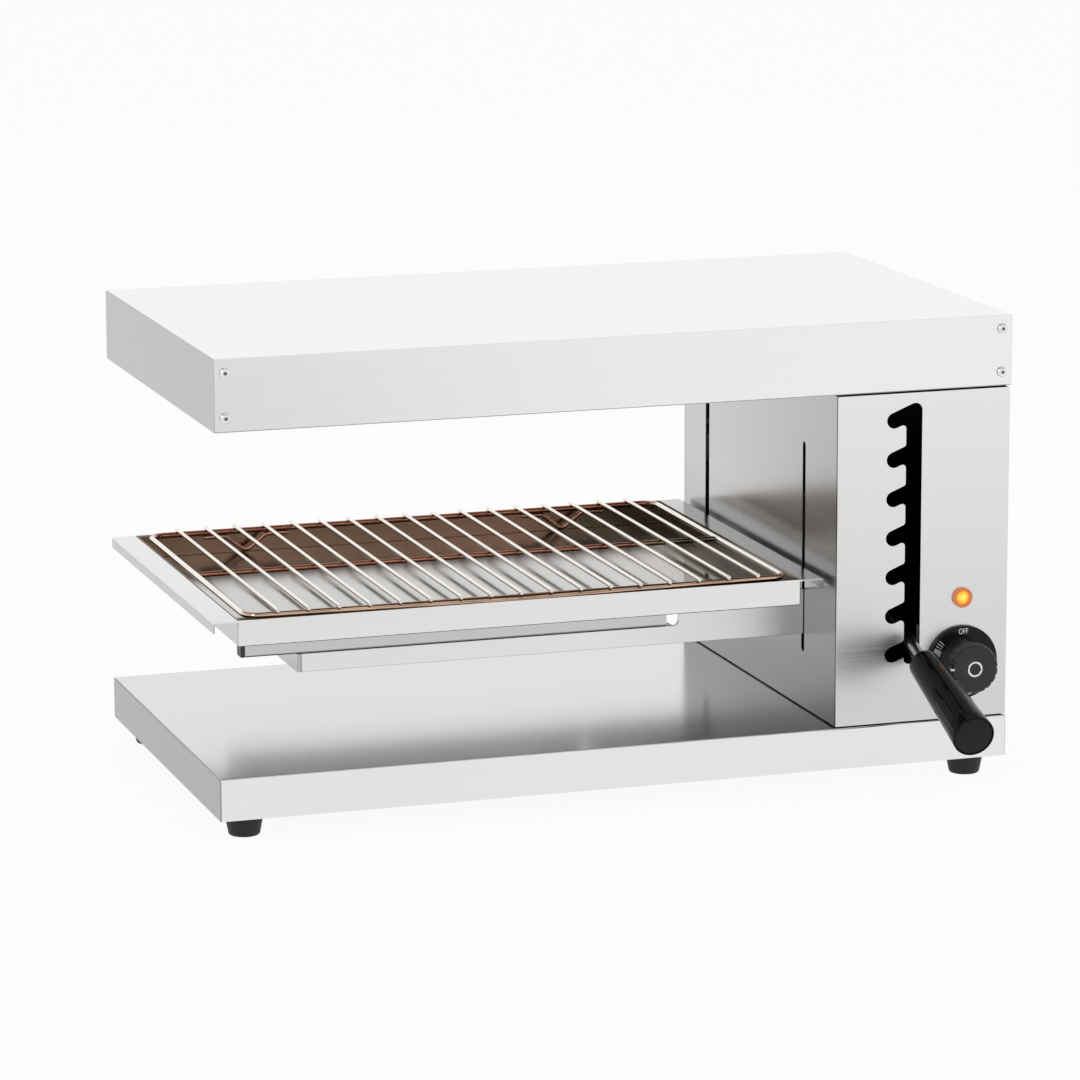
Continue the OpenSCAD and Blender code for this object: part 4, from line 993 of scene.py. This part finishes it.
# %% Wire feet under the rack
low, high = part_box("rack_feet")
FOOT_WIRE, FOOT_BEND, FOOT_REACH, FOOT_SLOPE = 3.5 * MM, 6 * MM, 33.5 * MM, math.radians(42)
foot_top, foot_low = high.z - FOOT_WIRE / 2, low.z + FOOT_WIRE / 2
knee = 2 * MM + (foot_top - foot_low) / math.tan(FOOT_SLOPE)
vee = [(-FOOT_REACH, foot_top), (-knee, foot_top), (0, foot_low), (knee, foot_top), (FOOT_REACH, foot_top)]
points, edges = [], []
for x in (low.x + FOOT_REACH, high.x - FOOT_REACH):
    for y in (low.y + FOOT_WIRE / 2, high.y - FOOT_WIRE / 2):
        edges += [(len(points) + k, len(points) + k + 1) for k in range(4)]
        points += [(x + dx, y, z) for dx, z in vee]
feet = bend_tree.grow("rack_wire_feet", points, edges, Thickness=FOOT_WIRE, Bend=FOOT_BEND)
keep(feet, "rack_feet", finish="foot_wire")

# %% [markdown]
# ## Screws
# One screw head is a stack of rings that end in a six-sided socket. The tree copies it to every
# point of a mesh and turns all copies the same way; a nut block behind each is copied with it.

# %% A screw head and the tree that copies it
def ringed(shape, rings, sides=36, hollow=False):
    """Closed skin through rings of (radius, height, corners) in millimetres; 0 corners is round."""
    rows = []
    for radius, height, corners in rings:
        row = []
        for k in range(sides):
            angle, reach = 2 * math.pi * k / sides, radius * MM
            if corners:
                wedge = math.pi / corners
                reach /= math.cos((angle + wedge) % (2 * wedge) - wedge)
            row.append(shape.verts.new((reach * math.cos(angle), -height * MM, reach * math.sin(angle))))
        rows.append(row)
    join_rows(shape, rows, hollow)


def screw_pattern(name, head, depth, socket, shank, length, nut):
    """A button head that points to -Y, its shank, and a nut of (width, height, depth) at its end."""
    shape = bmesh.new()
    r, t = head / 2, depth
    rings = [(shank / 2, -length, 0), (shank / 2, 0, 0), (r, 0, 0), (r, t * 0.35, 0), (r * 0.93, t * 0.62, 0),
             (r * 0.76, t * 0.86, 0), (r * 0.56, t * 0.98, 0), (socket * 1.12, t, 0), (socket, t * 0.97, 6),
             (socket * 0.94, t * 0.3, 6)]
    ringed(shape, rings)
    x, z, deep, end = nut[0] / 2 * MM, nut[1] / 2 * MM, nut[2] * MM, length * MM
    add_box(shape, (-x, end - deep, -z), (x, end, z))
    pattern = crisp(from_bmesh(name, shape), 32)
    return pattern


def screw_tree(name, finish):
    shop = Workshop(name, Pattern="Object", Turn="Vector")
    info = shop.add("GeometryNodeObjectInfo", {}, shop.value("Pattern"), out=4)
    turn = shop.add("FunctionNodeEulerToRotation", {}, shop.value("Turn"))
    points = shop.add("GeometryNodeMeshToPoints", {}, shop.value("Geometry"))
    copies = shop.add("GeometryNodeInstanceOnPoints", {}, points, Instance=info, Rotation=turn)
    return shop.end(copies, finish)


screws = screw_tree("screws", finishes["fastener"])
fascia_screw = screw_pattern("fascia_screw", 7.5, 2.2, 1.25, 4, 9.5, (11, 10, 8))
side_screw = screw_pattern("side_screw", 7, 1.6, 1.2, 3.5, 4.5, (8, 8, 3))
INSET_X, INSET_Z, SIDE_INSET, SIDE_END = 8 * MM, 10 * MM, 8.5 * MM, 4 * MM
head_z = (HOOD_LOW + INSET_Z, HOOD_TOP - INSET_Z)
heads = [(side * (RIGHT - INSET_X), FRONT, z) for side in (-1, 1) for z in head_z]
keep(screws.grow("fascia_screw_set", heads, Pattern=fascia_screw, Turn=(0, 0, 0)), "fascia_screws")
low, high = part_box("side_screws")
head_z = (low.z + SIDE_END, (low.z + high.z) / 2, high.z - SIDE_END)
heads = [(COLUMN_R, y, z) for y in (FRONT + SIDE_INSET, BACK - SIDE_INSET) for z in head_z]
side_set = screws.grow("side_screw_set", heads, Pattern=side_screw, Turn=(0, 0, math.radians(90)))
keep(side_set, "side_screws", finish="side_fastener")

# %% [markdown]
# ## Rubber feet
# A foot is turned: rings from the base plate down to the table, with a rounded rim at the bottom and
# the recess of its screw inside. The same tree that copies the screws copies it to the four corners;
# its rings run to the front, so a quarter turn points them down.

# %% Four feet
FEET = ["foot_" + y + "_" + x for y in ("front", "rear") for x in ("left", "right")]


def turned(name, rings, sides=72, sharp=35, hollow=False):
    shape = bmesh.new()
    ringed(shape, [(radius, height, 0) for radius, height in rings], sides, hollow)
    return crisp(from_bmesh(name, shape), sharp)


foot_rings = [(2, 0), (13.6, 0), (14, 0.4), (14, 2), (12.8, 8), (11.55, 14.4), (11.35, 15.3), (10.9, 15.95),
              (10.3, 16.35), (9.6, 16.5), (5.6, 16.5), (5, 16), (5, 6), (2, 6)]
rubber = screw_tree("foot_copies", finishes["rubber"])
foot = turned("foot", foot_rings)
corners = [(middle(node).x, middle(node).y, FOOT) for node in FEET]
keep(rubber.grow("rubber_feet", corners, Pattern=foot, Turn=(math.radians(90), 0, 0)), *FEET)
for pattern in (fascia_screw, side_screw, foot):
    bpy.data.objects.remove(pattern)

# %% [markdown]
# ## The handle
# Rod, grip and cap share one slanting axis, so they are turned in their own frame and then moved to
# their place. The frame's angles are those of the solids; its axis is the middle of the solid's box
# in that frame. The grip ends in a thin lip that stands round the flat cap and catches the light.

# %% Grip and cap
LEAN = Matrix.Rotation(math.radians(16.4), 3, "X") @ Matrix.Rotation(math.radians(-1.95), 3, "Z")


def on_handle(piece, node):
    """Moves a turned piece so that its rings start where the solid does, along the handle's axis."""
    spots = [LEAN.inverted() @ vertex.co for vertex in nodes[node].data.vertices]
    low, high = (Vector(pick(p[i] for p in spots) for i in range(3)) for pick in (min, max))
    start = Vector(((low.x + high.x) / 2, high.y, (low.z + high.z) / 2))
    piece.data.transform(Matrix.Translation(LEAN @ start) @ LEAN.to_4x4())
    return piece


GRIP, CAP, THIN, THICK, BORE = 109, 3, 11.62, 15.5, 5.05
body = [(BORE, 0.6), (8, 0), (8.6, 0), (10, 0.3), (10.9, 1.2), (11.4, 2.4), (THIN, 4)]
body += [(THIN + (THICK - THIN) * k / 8, 4 + (GRIP - 5) * k / 8) for k in range(1, 9)]
body += [(15.4, GRIP - 0.6), (15.15, GRIP - 0.25), (14.8, GRIP - 0.15), (14.5, GRIP - 0.12),
         (14.3, GRIP - 0.2), (14.2, GRIP - 0.5), (14.2, GRIP - 2), (BORE, GRIP - 2)]
keep(on_handle(turned("bakelite_grip", body, 96), "grip"), "grip")
cap = [(0.5, 0), (14, 0), (14.1, CAP - 0.9), (13.9, CAP - 0.6), (13.5, CAP - 0.45), (0.5, CAP - 0.45)]
keep(on_handle(turned("grip_end", cap, 96), "grip_cap"), "grip_cap")

# %% [markdown]
# ## The knob
# The dial is a black disc with a rounded rim. The knob on it is turned as a smooth body first; then
# a tree pulls its skin in by a power of a cosine, once for each flute. The power makes the flutes
# narrow and the ribs between them wide, and the pull fades out towards the foot and the face.

# %% Fluted knob
def fluted(name, finish):
    shop = Workshop(name, Flutes="Float", Depth="Float", Start="Float", End="Float")

    def calc(operation, *values):
        return shop.add("ShaderNodeMath", {"operation": operation}, *values)

    spot = shop.add("ShaderNodeSeparateXYZ", {}, shop.add("GeometryNodeInputPosition", {}))
    x, y, z = spot, spot.node.outputs[1], spot.node.outputs[2]
    angle = calc("MULTIPLY", calc("ARCTAN2", z, x), shop.value("Flutes"))
    wave = calc("POWER", calc("MAXIMUM", calc("COSINE", angle), 0.0), 4.0)
    height = calc("MULTIPLY", y, -1.0)
    fade = shop.add("ShaderNodeMapRange", {}, height, shop.value("Start"), shop.value("End"), 0.0, 1.0)
    pull = calc("MULTIPLY", calc("MULTIPLY", wave, fade), shop.value("Depth"))
    size = calc("SUBTRACT", 1.0, pull)
    moved = shop.add("ShaderNodeCombineXYZ", {}, calc("MULTIPLY", x, size), y, calc("MULTIPLY", z, size))
    skin = shop.add("GeometryNodeSetPosition", {}, shop.value("Geometry"), Position=moved)
    return shop.end(skin, finish)


DIAL_Y, FACE_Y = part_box("knob_dial")[0].y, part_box("knob_ring")[0].y
RISE = (DIAL_Y - FACE_Y) / MM
at_knob = Matrix.Translation((KNOB.x, DIAL_Y, KNOB.z))
skin = [(1, 0), (18.9, 0), (19, 0.3), (18.95, 1.2), (18.9, 2), (18.6, RISE - 4), (18.45, RISE - 2.2),
        (18.2, RISE - 1.2), (17.7, RISE - 0.5), (17, RISE - 0.15), (16.2, RISE), (13, RISE), (9.4, RISE),
        (8.9, RISE - 0.1), (8.4, RISE - 0.5), (5.85, RISE - 0.6), (4.35, RISE - 0.6), (2, RISE - 0.7),
        (0.3, RISE - 0.7)]
eye = [(4.35, RISE - 0.6), (5.8, RISE - 0.6), (5.8, RISE - 0.15), (5.6, RISE), (4.6, RISE),
       (4.35, RISE - 0.2)]
disc = [(3.05, 0), (26.3, 0), (26.6, 0.0), (27.1, -0.15), (27.4, -0.5), (27.5, -1), (27.5, -2.7), (27.2, -3),
        (3.05, -3)]
knob = turned("fluted_knob", skin, 216, 50)
knob = fluted("flutes", finishes["knob"]).work(knob, Flutes=18.0, Depth=0.045, Start=2 * MM, End=4 * MM)
ring = turned("knob_eye", eye, hollow=True)
dial = turned("dial_disc", disc, 120)
for piece, node in ((knob, "knob_grip"), (ring, "knob_ring"), (dial, "knob_dial")):
    piece.data.transform(at_knob)
    keep(piece, node)

# %% [markdown]
# ## Marks
# OFF is text that becomes a mesh and is laid on the dial; three strokes and the knob's pointer are
# flat bars. All of them ride on the knob's body and turn with it.

# %% Marks on the dial
def mark(piece):
    piece.data.materials.clear()
    piece.data.materials.append(white_mark)
    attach(piece, "knob")


def stroke(shape, size, place, turn=Matrix.Identity(4)):
    """A flat bar; its size and its place from the dial's centre are in millimetres."""
    for vertex in bmesh.ops.create_cube(shape, size=1)["verts"]:
        spot = Vector(c * s + p for c, s, p in zip(vertex.co, size, place)) * MM
        vertex.co = at_knob @ turn @ spot


INK, OFF_HEIGHT = 0.02 * MM, 23.4 * MM
STROKE, STROKE_PLACE, STROKE_ANGLES = (5, 0.04, 0.4), (23, -0.02, 0), (137, 142, 147)
POINTER, POINTER_PLACE = (2.6, 2.6, 1.5), (-17.7, 1.3 - RISE, 0.8)

letters = bpy.data.curves.new("off", "FONT")
letters.body, letters.size, letters.align_x, letters.align_y = "OFF", 6 * MM, "CENTER", "CENTER"
letters.extrude = INK
words = as_object("words", letters)
mesh = bpy.data.meshes.new_from_object(words)
bpy.data.objects.remove(words)
upright = Matrix.Rotation(math.radians(90), 4, "X") @ Matrix.Scale(0.74, 4, (1, 0, 0))
mesh.transform(at_knob @ Matrix.Translation((0, -INK, OFF_HEIGHT)) @ upright)
mark(as_object("off_mark", mesh))
shape = bmesh.new()
for degrees in STROKE_ANGLES:
    stroke(shape, STROKE, STROKE_PLACE, Matrix.Rotation(math.radians(-degrees), 4, "Y"))
stroke(shape, POINTER, POINTER_PLACE)
mark(from_bmesh("dial_marks", shape))
print("marks ready")

# %% [markdown]
# ## The studio
# A plain pale floor that keeps the soft shadow, a pale world and two soft lights: a wide one above
# and a small one at the left. The floor shows itself to the camera and to reflections nearly white,
# while what it sends on to other things stays plain. The world is white near the horizon and darker
# overhead, as a studio's ceiling is. A grey card lies before the machine, where only reflections see
# it: it gives the hood's front its shade.

# %% Floor and card
def seen(paint):
    """1 for rays of the camera, of reflections and through glass."""
    path = paint.add("LightPath", {}).socket.node
    rays = [Wire(paint, path.outputs["Is " + kind + " Ray"]) for kind in ("Camera", "Glossy", "Transmission")]
    return rays[0].calc("MAXIMUM", rays[1]).calc("MAXIMUM", rays[2])


def ground(name, x0, x1, y0, y1, z, paint):
    mesh = bpy.data.meshes.new(name)
    mesh.from_pydata([(x0, y0, z), (x1, y0, z), (x1, y1, z), (x0, y1, z)], [], [(0, 1, 2, 3)])
    mesh.materials.append(paint.material)
    sheet = as_object(name, mesh)
    return sheet


WHITE_SHARE, CARD_GREY, CARD_FADE = 0.94, 0.5, 0.48
paint = Finish("pale_floor")
matt, glow = paint.add("BsdfDiffuse", {}, tone(0.9)), paint.add("Emission", {}, tone(1.0))
paint.surface(paint.add("MixShader", {}, seen(paint) * WHITE_SHARE, matt, glow))
ground("floor", -14, 14, -14, 14, 0, paint)

paint = Finish("card_grey")
fade = paint.spread(paint.spots()[0], CARD_FADE, 0.0)
clear, grey = paint.add("BsdfTransparent", {}), paint.add("Emission", {}, tone(CARD_GREY))
paint.surface(paint.add("MixShader", {}, fade, clear, grey))
card = ground("grey_card", -0.7, 0.5, -2.1, -1.15, 2 * MM, paint)
card.visible_camera = card.visible_diffuse = card.visible_shadow = False
print("floor and card ready")

# %% World and lights
WHITE_TO, DARK_FROM, WHITE, DARK = 0.4, 0.8, 1.0, 0.25
world = bpy.data.worlds.new("studio")
bpy.context.scene.world = world
world.use_nodes = True
tree = world.node_tree
direction = new_node(tree, "ShaderNodeTexCoord", {}).outputs["Generated"]
upward = new_node(tree, "ShaderNodeSeparateXYZ", {}, direction).outputs[2]
brightness = new_node(tree, "ShaderNodeMapRange", {}, upward, WHITE_TO, DARK_FROM, WHITE, DARK).outputs[0]
for socket, value in zip(tree.nodes["Background"].inputs, (tone(1.0), brightness)):
    feed(socket, value)


def soft_light(name, place, aim, size, power):
    lamp = bpy.data.lights.new(name, "AREA")
    lamp.shape, lamp.size, lamp.size_y, lamp.energy = "RECTANGLE", size[0], size[1], power
    light = as_object(name, lamp)
    light.location = place
    light.rotation_euler = (Vector(aim) - Vector(place)).to_track_quat("-Z", "Y").to_euler()
    light.visible_camera = False


soft_light("top_light", (0.1, 0.1, 2.6), (0, 0, 0.2), (3.8, 3.2), 22)
soft_light("key_light", (-1.9, -1.5, 1.7), (0, 0, 0.2), (0.5, 1.2), 10)
bpy.context.scene.view_settings.view_transform = "Standard"
print("studio ready")
